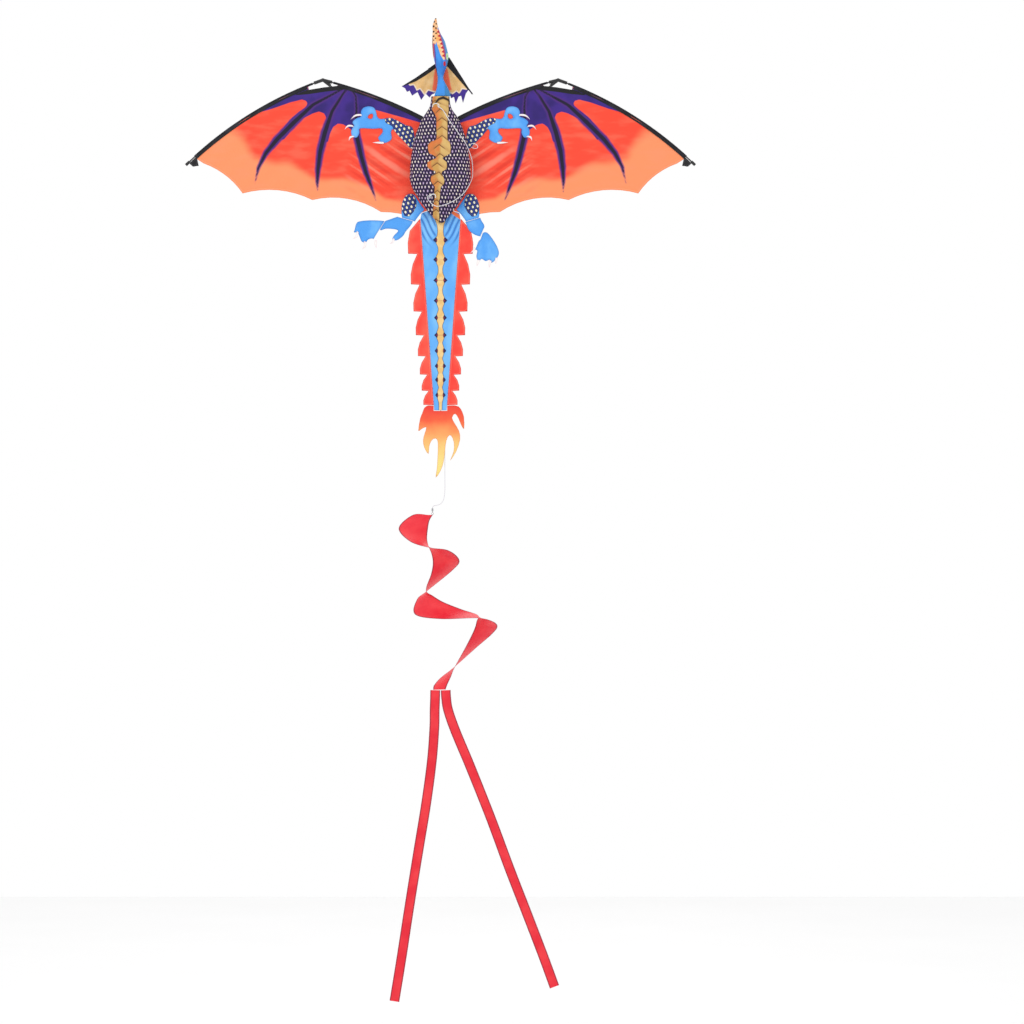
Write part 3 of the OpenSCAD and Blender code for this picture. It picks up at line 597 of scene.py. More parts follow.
def cut(name, loops, step, lie, marks, paint, thick=0.5):
    """A sheet of cloth with these outlines. lie gives y for x and z, marks the prints on it."""
    rim, edges = [], []
    for loop in loops:
        first = len(rim)
        for a, b in zip(loop, np.roll(loop, -1, axis=0)):
            parts = max(1, int(np.hypot(*(b - a)) / step + 0.6))
            rim += [a + (b - a) * i / parts for i in range(parts)]
        edges += [(i, i + 1) for i in range(first, len(rim) - 1)] + [(len(rim) - 1, first)]
    rim = np.array(rim)
    low, high = rim.min(axis=0), rim.max(axis=0)
    rows = np.arange(low[1], high[1], step * 0.87)
    seeds = [
        (x, z)
        for r, z in enumerate(rows)
        for x in np.arange(low[0] + (r % 2) * step / 2, high[0], step)
    ]
    seeds = np.array(seeds).reshape(-1, 2)
    seeds = seeds[within(seeds, loops)]
    if len(seeds):
        seeds = seeds[near_edge(seeds, loops)[0] > step * 0.5]
    at = np.vstack([rim, seeds])
    done = delaunay_2d_cdt([Vector(p) for p in at], edges, [], 0, 1e-5)
    at = np.array([tuple(v) for v in done[0]])
    faces = np.array(done[2])
    faces = faces[within(at[faces].mean(axis=1), loops)]
    a, b, c = (at[faces[:, i]] for i in range(3))
    turn = (b - a)[:, 0] * (c - a)[:, 1] - (b - a)[:, 1] * (c - a)[:, 0]
    faces[turn < 0] = faces[turn < 0][:, ::-1]
    area = np.abs(turn).sum() / 2
    y = lie(at[:, 0], at[:, 1])
    mesh = bpy.data.meshes.new(name)
    mesh.from_pydata([(p[0] * MM, q * MM, p[1] * MM) for p, q in zip(at, y)], [], faces.tolist())
    far, run = near_edge(at, loops)
    store(mesh, {"edge": far, "run": run, **marks(at)})
    piece = new_piece(name, mesh, paint)
    shell(piece, thick)
    piece["area"] = float(area * 1e-6)
    return piece


def shell(piece, thick):
    """Gives a surface its thickness, behind its face, and rounds its shading."""
    select(piece)
    wall = piece.modifiers.new("cloth", "SOLIDIFY")
    wall.thickness, wall.offset = thick * MM, -1
    bpy.ops.object.modifier_apply(modifier="cloth")
    bpy.ops.object.shade_smooth_by_angle(angle=math.radians(40))
    piece.select_set(False)


def run_lengths(line):
    """Distance along a line to each of its points."""
    return np.concatenate([[0], np.cumsum(np.linalg.norm(np.diff(np.array(line, float), axis=0), axis=1))])


def closed_mesh(name, rings):
    """A closed skin through rings of points in millimetres, with a cap at each end."""
    n, m = len(rings[0]), len(rings)
    faces = [
        (k * n + i, k * n + (i + 1) % n, (k + 1) * n + (i + 1) % n, (k + 1) * n + i)
        for k in range(m - 1)
        for i in range(n)
    ]
    faces += [tuple(range(n))[::-1], tuple((m - 1) * n + i for i in range(n))]
    mesh = bpy.data.meshes.new(name)
    mesh.from_pydata([tuple(p * MM) for ring in rings for p in ring], [], faces)
    return mesh


def turn_outwards(piece):
    """Turns every face of a closed skin outwards and leaves the piece selected."""
    select(piece)
    bpy.ops.object.mode_set(mode="EDIT")
    bpy.ops.mesh.select_all(action="SELECT")
    bpy.ops.mesh.normals_make_consistent(inside=False)
    bpy.ops.object.mode_set(mode="OBJECT")


def tube(name, path, profile, sides, paint):
    """A profile [(out, up), ...] swept along a path. sides gives the out and up ways at each point."""
    rings = []
    for i, p in enumerate(path):
        out, up = sides[i]
        ring = profile(i) if callable(profile) else profile
        rings.append([np.array(p) + out * a + up * b for a, b in ring])
    n = len(rings[0])
    mesh = closed_mesh(name, rings)
    girth, gone = run_lengths(rings[0] + rings[0][:1]), run_lengths(path)
    layer = mesh.uv_layers.new(name="cut")
    for face in mesh.polygons:
        wraps = face.loop_total == 4
        for c, loop in enumerate(face.loop_indices):
            k, i = divmod(mesh.loops[loop].vertex_index, n)
            u = girth[-1] if wraps and i == 0 and c in (1, 2) else girth[i]
            layer.data[loop].uv = (u * MM, gone[k] * MM)
    piece = new_piece(name, mesh, paint)
    turn_outwards(piece)
    bpy.ops.object.shade_smooth_by_angle(angle=math.radians(50))
    piece.select_set(False)
    return piece


def curve_through(points, steps):
    """A smooth line through the points, the same one that the part's cords follow."""
    p = np.array(points, float)
    line = []
    for i in range(len(p) - 1):
        a, b, c, d = p[max(i - 1, 0)], p[i], p[i + 1], p[min(i + 2, len(p) - 1)]
        for s in range(steps):
            t = s / steps
            slope = (c - a) * t
            bend = (2 * a - 5 * b + 4 * c - d) * t**2
            twist = (3 * b - a - 3 * c + d) * t**3
            line.append(0.5 * (2 * b + slope + bend + twist))
    return np.array(line + [p[-1]])


def cord_sides(line):
    """Out and up ways that stay steady along a cord."""
    way = np.gradient(line, axis=0)
    way /= np.linalg.norm(way, axis=1)[:, None]
    out = np.cross(way[0], [0.3, 1, 0.2])
    sides = []
    for w in way:
        out = out - w * (out @ w)
        out /= np.linalg.norm(out)
        sides.append((out.copy(), np.cross(w, out)))
    return sides


def cord_piece(name, points, across, paint, steps=6):
    line = curve_through(points, steps)
    turns = np.linspace(0, 2 * math.pi, 13)[:-1]
    circle = [(across / 2 * math.cos(a), across / 2 * math.sin(a)) for a in turns]
    piece = tube(name, line, circle, cord_sides(line), paint)
    return piece, line, float(run_lengths(line)[-1])


LINE_ACROSS = 2.0


def declare_cord(line):
    """Turns the points of a free line with both ends on the kite into metres, and does nothing more with
    them.
    """
    path = [tuple(p * MM) for p in line]
    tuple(path[0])


# ------------------------------------------------------------------ camera, light, floor
camera_data = bpy.data.cameras.new("camera")
camera_data.lens, camera_data.sensor_width = 150, 36
camera = bpy.data.objects.new("camera", camera_data)
camera.location = (0.197, -11.754, -0.954)
camera.rotation_euler = (math.radians(90), 0, 0)
bpy.context.collection.objects.link(camera)
bpy.context.scene.camera = camera


def lamp(name, place, aim, power, size):
    data = bpy.data.lights.new(name, "AREA")
    data.energy, data.size = power, size
    obj = bpy.data.objects.new(name, data)
    obj.location = place
    obj.rotation_euler = (Vector(aim) - Vector(place)).to_track_quat("-Z", "Y").to_euler()
    bpy.context.collection.objects.link(obj)


def studio():
    world = bpy.data.worlds.new("studio")
    world.use_nodes = True
    world.node_tree.nodes["Background"].inputs[0].default_value = (1, 1, 1, 1)
    world.node_tree.nodes["Background"].inputs[1].default_value = 1.0
    bpy.context.scene.world = world
    lamp("key_light", (-2.2, -3.2, 2.0), (0, 0, -0.3), 30, 1.4)
    lamp("fill_light", (2.8, -3.0, 0.4), (0, 0, -0.6), 6, 2.4)
    lamp("back_light", (0.5, 3.4, 1.6), (0, 0, -0.4), 20, 2.2)
    bpy.ops.mesh.primitive_plane_add(size=9, location=(0, 0, -2.42))
    floor = bpy.context.active_object
    floor.name = "floor"
    p = Paint("pale_floor")
    tint = p.mix((0.93, 0.93, 0.93), (0.90, 0.90, 0.90), p.grain(2, 2))
    floor.data.materials.append(p.finish(tint, 0.6))
    floor.select_set(False)
    bpy.context.scene.view_settings.view_transform = "Standard"


studio()

line_paint = line_finish("braided_line", (0.84, 0.83, 0.86), (0.55, 0.54, 0.60))
webbing_paint = line_finish("webbing", (0.85, 0.85, 0.84), (0.6, 0.6, 0.62))
rod_paint = rod_finish()
vinyl_paint = vinyl_finish()
steel_paint = steel_finish()
sleeve_paint = sleeve_finish()
sail_paint = sail_finish()
navy_paint = plain_cloth("navy_lining", (0.020, 0.014, 0.075), (0.030, 0.020, 0.11))
black_paint = hemmed_cloth(
    "black_reinforcement", (0.012, 0.012, 0.014), (0.028, 0.028, 0.032), (0.08, 0.08, 0.09)
)
fringe_paint = hemmed_cloth("coral_fringe", (0.91, 0.055, 0.040), (0.94, 0.115, 0.075), (0.95, 0.30, 0.22))
limb_paint = limb_finish()
claw_paint = claw_finish()

# ------------------------------------------------------------------ lines
tail_cord, tail_line, tail_length = cord_piece(
    "tail_line",
    [
        (0, 0, -663.2), (0, 0.5, -668), (2, 2, -685), (6, 4, -705), (11, 5, -740), (12, 4, -790),
        (12, 2, -850), (12, 1, -895), (9, 0, -918), (2, 0, -930), (-8, 0, -935), (-17, 0, -936.5),
        (-21.5, 0, -940), (-22, 0, -944),
    ],
    LINE_ACROSS,
    line_paint,
)
hand_over(tail_cord, "tail_cord", "airframe")
declare_cord(tail_line)

bridle, bridle_line, bridle_length = cord_piece(
    "bridle",
    [
        (-8, -57, 160), (8, -60, 147), (22, -64, 124), (40, -67, 98), (56, -68, 76), (70, -62, 56),
        (80, -50, 34), (87, -40, 12), (89, -34, -14), (87, -36, -38), (77, -52, -62), (62, -55, -82),
        (42, -57, -98), (22, -55, -108), (4, -52, -114), (-12, -53, -115), (-26, -58, -106),
        (-34, -64, -96), (-33, -67, -89), (-23, -68, -88),
    ],
    LINE_ACROSS,
    line_paint,
    4,
)
tow = cord_piece(
    "tow_line_loop",
    [
        (80, -58, 52), (88, -56, 56), (97, -54, 55), (103, -53, 49), (101, -53, 44), (94, -54, 43),
        (86, -56, 46),
    ],
    1.6,
    line_paint,
)[0]
TABS = {
    "upper": [
        (-21, -45, 157), (-20, -49, 163), (-13, -53, 166.5), (-6, -53, 164.5), (-3, -51, 160),
        (-4, -47, 156),
    ],
    "lower": [
        (-27, -63, -94), (-28, -67, -88), (-22, -70, -84), (-15, -69.5, -84), (-12, -66, -89),
        (-13, -63, -93),
    ],
}
tabs = [cord_piece(f"bridle_tab_{which}", points, 2.6, webbing_paint)[0] for which, points in TABS.items()]
hand_over(bridle, "bridle_line", "airframe")
hand_over(tow, "tow_loop", "airframe")
hand_over(tabs[0], "bridle_tabs", "airframe")
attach(tabs[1], "airframe")
declare_cord(bridle_line)


# ------------------------------------------------------------------ frame finishes
def dress(paint, *nodes):
    for node in nodes:
        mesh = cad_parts[node].data
        mesh.materials.clear()
        mesh.materials.append(paint)


SIDES = {"left": -1, "right": 1}
PAIRED_RODS = ("inner_spar", "outer_spar", "spreader", "frill_spar")
PAIRED_FITTINGS = ("hinge_tubes", "wrist_joint", "tip_cap")
dress(rod_paint, "spine_rod", *[f"{n}_{s}" for s in SIDES for n in PAIRED_RODS])
dress(vinyl_paint, "spine_end_caps", "neck_cross", "chest_cross", "crest_cross", "frill_tubes")
dress(vinyl_paint, *[f"{n}_{s}" for s in SIDES for n in PAIRED_FITTINGS])
dress(steel_paint, "swivel_barrel", "swivel_eye")
dress(navy_paint, "spine_sleeve")


# How far in front of the rods each cloth lies, as y in millimetres.
SAIL_FRONT, LIMB_FRONT, TAIL_FRONT, FRILL_FRONT, LINING_FRONT = -6.8, -7.35, -6.2, -6.4, -7.9


# ------------------------------------------------------------------ wings
def fold_wave(x, z):
    """The pull of the body on the sail: folds that rise away from it."""
    u = np.abs(x)
    across = z * 0.86 - u * 0.50 + 6 * np.sin(u / 55)
    return np.sin(across / 5.6 + 1.5 * np.sin(across / 19)) * (0.6 + 0.4 * np.sin(across / 31 + u / 40))


def sail_lie(x, z):
    """How the sail lies: fine tension folds by the body and slow waves farther out."""
    u = np.abs(x)
    folds = fold_wave(x, z) * (1 - smooth(u, 150, 330)) * smooth(u, 20, 60)
    fans = np.sin((u * 0.80 + z * 0.60) / 10.5 + 1.4 * np.sin(z / 45)) * smooth(u, 230, 420)
    slack = np.sin(u / 7.5) * (1 - smooth(z, -125, -60)) * smooth(u, 110, 180)
    return SAIL_FRONT + folds * 0.95 + fans * 0.55 + slack * 0.45


VIOLET = [
    (6, 160), (6, 108), (38, 113), (100, 131), (168, 150), (200, 158), (214, 150), (221, 128),
    (224, 104), (240, 96), (248, 100), (256, 106), (267, 113), (282, 115.5), (295, 106), (304, 88),
    (310, 64), (322, 66), (322, 92), (317, 112), (314, 130), (320, 143), (334, 148.5), (352, 143),
    (379, 129), (410, 98), (432, 70), (446, 78), (430, 108), (408, 133), (388, 149), (371, 161),
    (366, 170), (370, 178), (382, 181.5), (412, 174), (460, 157), (500, 146), (532, 137), (545, 150),
    (470, 250), (330, 270), (200, 240), (60, 180),
]
FINGERS = [
    [
        (245, 209, 3), (233, 190, 3), (231, 157, 3.5), (233, 115, 5), (229, 75, 6.5), (218, 25, 6),
        (205, -20, 5), (190, -60, 3), (177, -97, 0.2),
    ],
    [
        (258, 209, 3), (270, 195, 3.5), (299, 148, 5), (318, 91, 7), (331, 40, 6.5), (337, -10, 5),
        (339, -45, 2.8), (338, -74, 0.2),
    ],
    [
        (268, 212, 3), (299, 195, 3.5), (351, 167, 5), (403, 119, 7), (450, 72, 6.5), (480, 35, 5),
        (501, -5, 3), (511, -50, 0.2),
    ],
]
TRAILING = [
    (86, -139), (164, -128), (213, -101), (270, -88), (353, -95), (436, -66), (545, -77), (602, -27),
    (668, -8), (700, 0),
]
WRIST_BRACE = [(252, 213, 2), (284, 214, 7), (319, 210, 7), (362, 203, 6.5), (402, 194, 1)]
SPAR_BRACE = [(10, 122, 2), (101, 160, 2.4), (174, 192, 3), (240, 215, 5), (290, 232, 5)]


def sail_marks(at):
    at = mirrored(at)
    x, z = at.T
    fingers = np.max([stroke(at, [(a, b, c * 0.86) for a, b, c in f]) for f in FINGERS], axis=0)
    wide = [[(a, b, max(0.2, c * 1.9 - 0.5)) for a, b, c in f] for f in FINGERS]
    halo = np.max([stroke(at, f) for f in wide], axis=0)
    low = -stroke(at, [(a, b, 0) for a, b in TRAILING])
    reach = 46 + 16 * smooth(x, 150, 260) + 26 * smooth(x, 300, 430) + 80 * smooth(x, 440, 620)
    warm = 1 - smooth(low, reach * 0.45, reach * 1.25)
    brace = np.maximum(stroke(at, WRIST_BRACE), stroke(at, SPAR_BRACE))
    # The fold mark places painted highlight and painted shade along the tension folds by the body.
    fold = fold_wave(x, z) * (1 - smooth(x, 190, 330)) * smooth(x, 30, 70)
    fold = fold * smooth(z, -132, -80) * (1 - 0.5 * smooth(z, 70, 110))
    violet = inside(at, VIOLET)
    return {"violet": violet, "finger": fingers, "halo": halo, "warm": warm, "brace": brace, "fold": fold}


def arc_line(p, q, bow, start, end, n):
    """Points of the bowed spar from p to q, with the way towards the sail at each."""
    p, q = np.array(p, float), np.array(q, float)
    way = (q - p) / np.linalg.norm(q - p)
    side = np.array([-way[1], way[0]])
    half = np.linalg.norm(q - p) / 2
    r = (half**2 + bow**2) / (2 * bow)
    mid = (p + q) / 2 - side * (r - bow)
    sweep = 2 * math.asin(half / r)
    first = math.atan2(*(p - mid)[::-1])
    length = sweep * r
    spots = []
    for t in np.linspace(start / length, 1 - end / length, n):
        a = first - sweep * t
        out = np.array([math.cos(a), math.sin(a)])
        spots.append((mid + r * out, -out))
    return spots


WRIST, ROOT, TIP = (324, 236), (16.5, 115), (700, 3)
PLAIN_NEAR_WRIST = 45
SLEEVE_RADIUS = 3.3
SLEEVE_ARC = np.radians(np.arange(75, 331, 17))
SLEEVE_FLAP = [(3.0, 0.4), (4.2, 5.0), (9.0, 7.2), (9.4, 7.8), (6.2, 8.1), (3.4, 7.0), (1.8, 4.6)]


def sleeve(side, name, spots):
    """A casing of cloth round the spar, with a flap sewn to the front of the sail."""
    sign = SIDES[side]
    path = [(sign * p[0], 0, p[1]) for p, _ in spots]
    sides = [(np.array([sign * inward[0], 0, inward[1]]), np.array([0, -1, 0])) for _, inward in spots]
    circle = [(SLEEVE_RADIUS * math.cos(a), SLEEVE_RADIUS * math.sin(a)) for a in SLEEVE_ARC]
    plain = circle + [(a * 0.36, b * 0.4) for a, b in SLEEVE_FLAP]
    near = [np.hypot(*(p - np.array(WRIST))) < PLAIN_NEAR_WRIST for p, _ in spots]
    full = circle + SLEEVE_FLAP
    piece = tube(f"{name}_{side}", path, lambda i: plain if near[i] else full, sides, sleeve_paint)
    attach(piece, f"{side}_wing")
    return piece


ROOT_REACH = 19


def reaching(node, side, inner):
    """The outlines of a wing or frill, with its root moved in to this distance from the spine."""
    loops = outlines(node)
    for loop in loops:
        at_root = np.abs(loop[:, 0]) < ROOT_REACH
        loop[at_root, 0] = SIDES[side] * inner
    return loops


def span_fold(piece, node):
    """Hides the CAD node as hand_over does, but bakes the piece's place into its mesh instead of hanging it
    on a body, for cloth that spans the fold beside the spine.
    """
    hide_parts(node)
    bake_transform(piece)


def patch_lie(x, z):
    return sail_lie(x, z) - 0.9


def wing(side):
    node = f"wing_sail_{side}"
    sail = cut(f"sail_{side}", reaching(node, side, inner=8), 5.5, sail_lie, sail_marks, sail_paint)
    span_fold(sail, node)
    inner = sleeve(side, "inner_sleeve", arc_line(ROOT, WRIST, 11, 26, 30, 60))
    outer = sleeve(side, "outer_sleeve", arc_line(WRIST, TIP, 24, 30, 32, 80))
    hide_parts(f"edge_sleeves_{side}")
    node = f"tip_pocket_{side}"
    patch = cut(f"tip_patch_{side}", outlines(node), 4, patch_lie, no_marks, black_paint, 0.7)
    hand_over(patch, node, f"{side}_wing")


PATCH_ARM = [
    (60, 106), (76, 105), (96, 113), (123, 127.5), (140, 133), (153, 129), (150, 118), (132, 109), (126, 95),
    (103, 66), (78, 44), (60, 44),
]


def limb(name, node, body, patch, lie):
    def marks(at):
        return {"patch": inside(mirrored(at), patch) if patch else np.full(len(at), -60.0)}

    piece = cut(name, outlines(node), 3.2, lie, marks, limb_paint)
    hand_over(piece, node, body)


def claws(name, node, body, lie):
    piece = cut(name, outlines(node), 2.2, lie, no_marks, claw_paint, 0.4)
    hand_over(piece, node, body)
    return piece


PATCH_THIGH = [
    (104, -95), (98, -85), (87, -79), (75, -82), (67, -98), (67, -112), (75, -128), (87, -140), (98, -138),
    (105, -124), (108, -108),
]


def thigh_lie(x, z):
    u = np.abs(x)
    free = 1 - smooth(-z, 112, 136)
    swell = smooth(u, 62, 80) * (1 - smooth(u, 92, 108))
    return LIMB_FRONT + free * (0.4 * np.sin(z / 6) - 0.25 - 3.2 * swell)


def leg_lie(x, z):
    return LIMB_FRONT + smooth(-z, 152, 176) * (0.8 * np.sin(x / 11 + z / 17) - 0.8 * np.cos(z / 13) - 0.25)


def arm_lie(x, z):
    return sail_lie(x, z) - 1.3


def lining_lie(x, z):
    return LINING_FRONT + 0.3 * np.sin(z / 9)


for side in SIDES:
    wing(side)
    on_wing, on_leg = f"{side}_wing", f"{side}_leg"
    nails = claws(f"hand_claws_{side}", f"arm_claws_{side}", on_wing, lambda x, z: sail_lie(x, z) - 2.1)
    limb(f"arm_print_{side}", f"arm_{side}", on_wing, PATCH_ARM, arm_lie)
    limb(f"thigh_print_{side}", f"thigh_{side}", "airframe", PATCH_THIGH, thigh_lie)
    limb(f"shank_print_{side}", f"shank_{side}", on_leg, None, leg_lie)
    nails = claws(f"toe_claws_{side}", f"foot_claws_{side}", on_leg, lambda x, z: leg_lie(x, z) - 0.9)
    limb(f"foot_print_{side}", f"foot_{side}", on_leg, None, leg_lie)

back = cut("back_lining", outlines("back_panel"), 4, lining_lie, no_marks, navy_paint)
hand_over(back, "back_panel", "airframe")


# ------------------------------------------------------------------ tail
NODES_AT = [-205, -259, -316, -372, -419, -467, -510, -552, -590, -632]


def tail_marks(at):
    x, z = at.T
    u = np.abs(x)
    near = np.min([np.abs(z - n) for n in NODES_AT], axis=0)
    shrink = np.interp(z, [-680, -200], [0.66, 1.0])
    waist = np.interp(near, [0, 4, 8, 13, 20, 30], [8.0, 9.6, 11.8, 9.4, 6.4, 5.6])
    top = np.interp(z, [-196, -182, -165, -150], [9.0, 7.0, 8.5, 14.0])
    waist = np.where(z > -196, top, waist) * shrink
    spur = (21.5 - 1.15 * near) * shrink - u
    heart = (14.5 - 1.6 * near) * shrink - u
    # Where the painted shade and painted highlight of pleats fall, as a wave across the top of the tail.
    pleat = np.sin((u * 0.846 - z * 0.533) / 2.3 + 1.2 * np.sin((u + z) / 21))
    pleat = pleat * smooth(z, -235, -185) * smooth(u, 9, 16)
    fold = np.where(x > 0, stroke(at, [(26, -124, 4), (44, -136, 5), (66, -150, 5)]), -9)
    fold = np.maximum(fold, np.where(x < 0, stroke(at, [(-48, -127, 2), (-66, -139, 3)]), -9))
    return {
        "bone": waist - u,
        "spur": spur,
        "spur_heart": heart,
        "joint": 1.0 - near,
        "pleat": pleat,
        "tuck": fold,
    }


def tail_lie(x, z):
    creases = 0.7 * np.sin((x * 0.5 + z * 0.12) / 3.1) * smooth(z, -260, -160)
    return TAIL_FRONT - 1.2 * np.exp(-((x / 9) ** 2)) + creases + 0.35 * np.sin(z / 21)


def fringe_lie(x, z):
    return TAIL_FRONT + 1.1 * np.sin(z / 14 + x / 25) * smooth(np.abs(x), 40, 90)


def flame_lie(x, z):
    return TAIL_FRONT + 1.6 * np.sin(z / 19 + x / 16) * smooth(-z, 690, 760)


tail = cut("tail_print", outlines("tail_panel"), 3.4, tail_lie, tail_marks, tail_finish())
hand_over(tail, "tail_panel", "airframe")
for side in SIDES:
    fringe = cut(f"fringe_{side}", outlines(f"tail_fringe_{side}"), 4, fringe_lie, no_marks, fringe_paint)
    hand_over(fringe, f"tail_fringe_{side}", "airframe")
pocket = cut("rod_pocket", outlines("tail_rod_pocket"), 3, lambda x, z: 4.3 + 0 * x, no_marks, black_paint)
hand_over(pocket, "tail_rod_pocket", "airframe")
flame = cut("flame_print", outlines("tail_flame"), 3.2, flame_lie, no_marks, flame_finish())
hand_over(flame, "tail_flame", "flame")

# ------------------------------------------------------------------ frills
BANDS = {
    "left": [(17, 277, 10), (45, 255, 8.5), (70, 236, 5), (100, 221, 2)],
    "right": [(17, 290, 10), (45, 255, 8), (70, 222, 5), (90, 193, 1.5)],
}
RAGS = {
    "left": [
        (120, 238), (92, 228), (84, 219), (74, 222), (66, 206), (56, 210), (44, 192), (34, 206),
        (10, 200), (10, 150), (120, 150),
    ],
    "right": [
        (110, 212), (80, 214), (72, 208), (60, 210), (52, 197), (44, 204), (34, 196), (12, 204), (12, 150),
        (110, 150),
    ],
}
ROOTS = {
    "left": [(8, 300), (15, 268), (19, 240), (22, 205), (8, 205)],
    "right": [(8, 280), (20, 262), (24, 240), (31, 208), (8, 205)],
}
frill_paint = frill_finish()


def frill_lie(x, z):
    ray = np.arctan2(np.abs(x) - 8, 300 - z)
    return FRILL_FRONT + 0.9 * np.sin(ray * 22) * smooth(np.abs(x), 14, 45)


def frill(side):
    def marks(at):
        at = mirrored(at)
        return {
            "band": stroke(at, BANDS[side]),
            "rag": inside(at, RAGS[side]),
            "root": inside(at, ROOTS[side]),
        }

    node = f"frill_{side}"
    piece = cut(f"frill_print_{side}", reaching(node, side, inner=7), 2.6, frill_lie, marks, frill_paint)
    span_fold(piece, node)


for side in SIDES:
    frill(side)


# ------------------------------------------------------------------ body and head
def loft(name, stations, around, rise, marks, paint, puff):
    """A closed skin through stations [z, half width, front y, back y, x], in millimetres."""
    line = curve_through(stations, rise)
    angles = np.linspace(0, 2 * math.pi, around, endpoint=False)
    c, d = np.cos(angles), np.sin(angles)
    rings = []
    for z, half, front, rear, x in line:
        mid, deep = (front + rear) / 2, (rear - front) / 2
        a = x + max(half, 0.4) * np.sign(c) * np.abs(c) ** 0.8
        b = mid + max(deep, 0.4) * np.sign(d) * np.abs(d) ** 0.8
        rings.append(np.stack([a, b, np.full(around, z)], axis=1))
    rings = puff(np.array(rings))
    n = around
    mesh = closed_mesh(name, rings)
    at = rings.reshape(-1, 3)
    store(mesh, marks(at[:, [0, 2]], at[:, 1]))
    girth = np.linalg.norm(np.diff(np.concatenate([rings, rings[:, :1]], axis=1), axis=1), axis=2)
    # The map runs both ways round from the front, so its seam lies at the back.
    front_at, half_way = int(n * 0.75), n // 2
    last = (front_at + half_way - 1) % n
    layer = mesh.uv_layers.new(name="cut")
    for face in mesh.polygons:
        low = min(mesh.loops[loop].vertex_index % n for loop in face.loop_indices)
        for loop in face.loop_indices:
            v = mesh.loops[loop].vertex_index
            k, i = divmod(v, n)
            steps = (i - front_at + half_way) % n - half_way
            if face.loop_total == 4 and low == last and steps == -half_way:
                steps = half_way
            order = [(front_at + s) % n for s in range(min(steps, 0), max(steps, 0))]
            u = float(girth[k][order].sum()) if order else 0.0
            layer.data[loop].uv = (math.copysign(u, steps) * MM, at[v][2] * MM)
    piece = new_piece(name, mesh, paint)
    turn_outwards(piece)
    bpy.ops.object.shade_smooth()
    piece.select_set(False)
    return piece


BODY = [
    (188, 25, 0.42), (158, 30, 0.55), (126, 50, 0.75), (92, 64, 0.9), (57, 74, 1), (0, 82, 1),
    (-50, 82, 0.95), (-93, 60, 0.75), (-128, 34, 0.45), (-158, 8, 0.15),
]
BELLY = [
    (194, -20, 23), (176, -21, 22), (150, -22, 23), (140, -16, 22), (127, -10, 20), (100, -10, 20),
    (72, -9, 20), (64, -12, 20), (60, -24, 26), (52, -33, 28), (40, -33, 29), (28, -30, 28),
    (21, -14, 16), (15, -9, 6), (10, -22, 10), (4, -34, 18), (-8, -35, 19), (-16, -28, 17),
    (-21, -12, 6), (-28, -12, 4), (-34, -24, 8), (-46, -26, 12), (-56, -20, 10), (-63, -14, 2),
    (-78, -16, 0), (-94, -15, -1), (-104, -17, -4), (-122, -19, -4), (-138, -20, -3), (-160, -24, -3),
]
INLET = [(-14, 168, 2.0), (-4, 180, 3.0), (8, 184, 3.4), (22, 178, 2.6), (28, 170, 1.4)]
PRINTED_FRONT = -14


def body_marks(at, y):
    x, z = at.T
    table = np.array(BELLY[::-1], float)
    low = np.interp(z, table[:, 0], table[:, 1])
    high = np.interp(z, table[:, 0], table[:, 2])
    front = y < PRINTED_FRONT
    belly = np.where(front, np.minimum(x - low, high - x), -20)
    side = x - (low + high) / 2 + 14 * smooth(z, 148, 172)
    # The inlet mark places the painted shade of the pouch's open mouth.
    inlet = np.where(front, stroke(at, INLET), -20)
    return {"belly": belly, "side": side, "inlet": inlet}


def body_puff(rings):
    x, y, z = rings[..., 0], rings[..., 1], rings[..., 2]
    front = smooth(-y, 10, 26)
    swell = 1.3 * np.sin(z / 7.0 + 1.6 * np.sin(x / 19)) + 0.9 * np.sin((x * 0.8 + z * 0.5) / 5.5)
    seam = -2.6 * np.exp(-(((np.abs(x - 4) - 17) / 3.0) ** 2))
    rings[..., 1] = y - (swell * 0.8 + seam) * front
    rings[..., 0] = x + 0.5 * np.sin(z / 5.0) * smooth(np.abs(x), 20, 60)
    return rings


BODY_BACK, BODY_DEPTH = -8.6, 65.4
stations = [(z, half, BODY_BACK - BODY_DEPTH * share, BODY_BACK, 0) for z, half, share in BODY]
body = loft("belly_bag", stations, 144, 15, body_marks, body_finish(), body_puff)
hand_over(body, "body_pouch", "airframe")

HEAD = [
    (404, 2, -20, -14, -12.5), (385, 6.8, -26, -10, -14.2), (364, 10.5, -33, -8, -11),
    (342, 17, -39, -8, -5.4), (320, 19.7, -45, -8, -1.8), (299, 20.8, -48, -8, 1.5),
    (277, 16.8, -46, -8, 2.3), (258, 12, -40, -8, 1), (238, 7.8, -34, -8, 0.6),
    (212, 15.5, -30, -8, 5.5), (190, 23, -28, -9, 6),
]
JAW = [
    (-13.5, 412), (-4, 398), (-5, 380), (-7, 377), (-10, 364), (-10, 347), (-12.4, 329), (-17.8, 333),
    (-26, 336), (-28, 386), (-22, 402),
]
CHEEK = [(-26, 370), (-18.4, 364), (-17.1, 334), (-15.6, 295), (-18, 288), (-26, 295)]
TEETH = [
    (-10.2, 370), (-5.9, 373), (-1.5, 357), (4.5, 334), (10.4, 308), (12.5, 288), (9.3, 286),
    (0.6, 301), (-5.9, 321), (-12.4, 342), (-13.5, 357),
]
BITE = [(-5.9, 373), (-1.5, 357), (4.5, 334), (10.4, 308), (12.5, 288)]
GUM = []
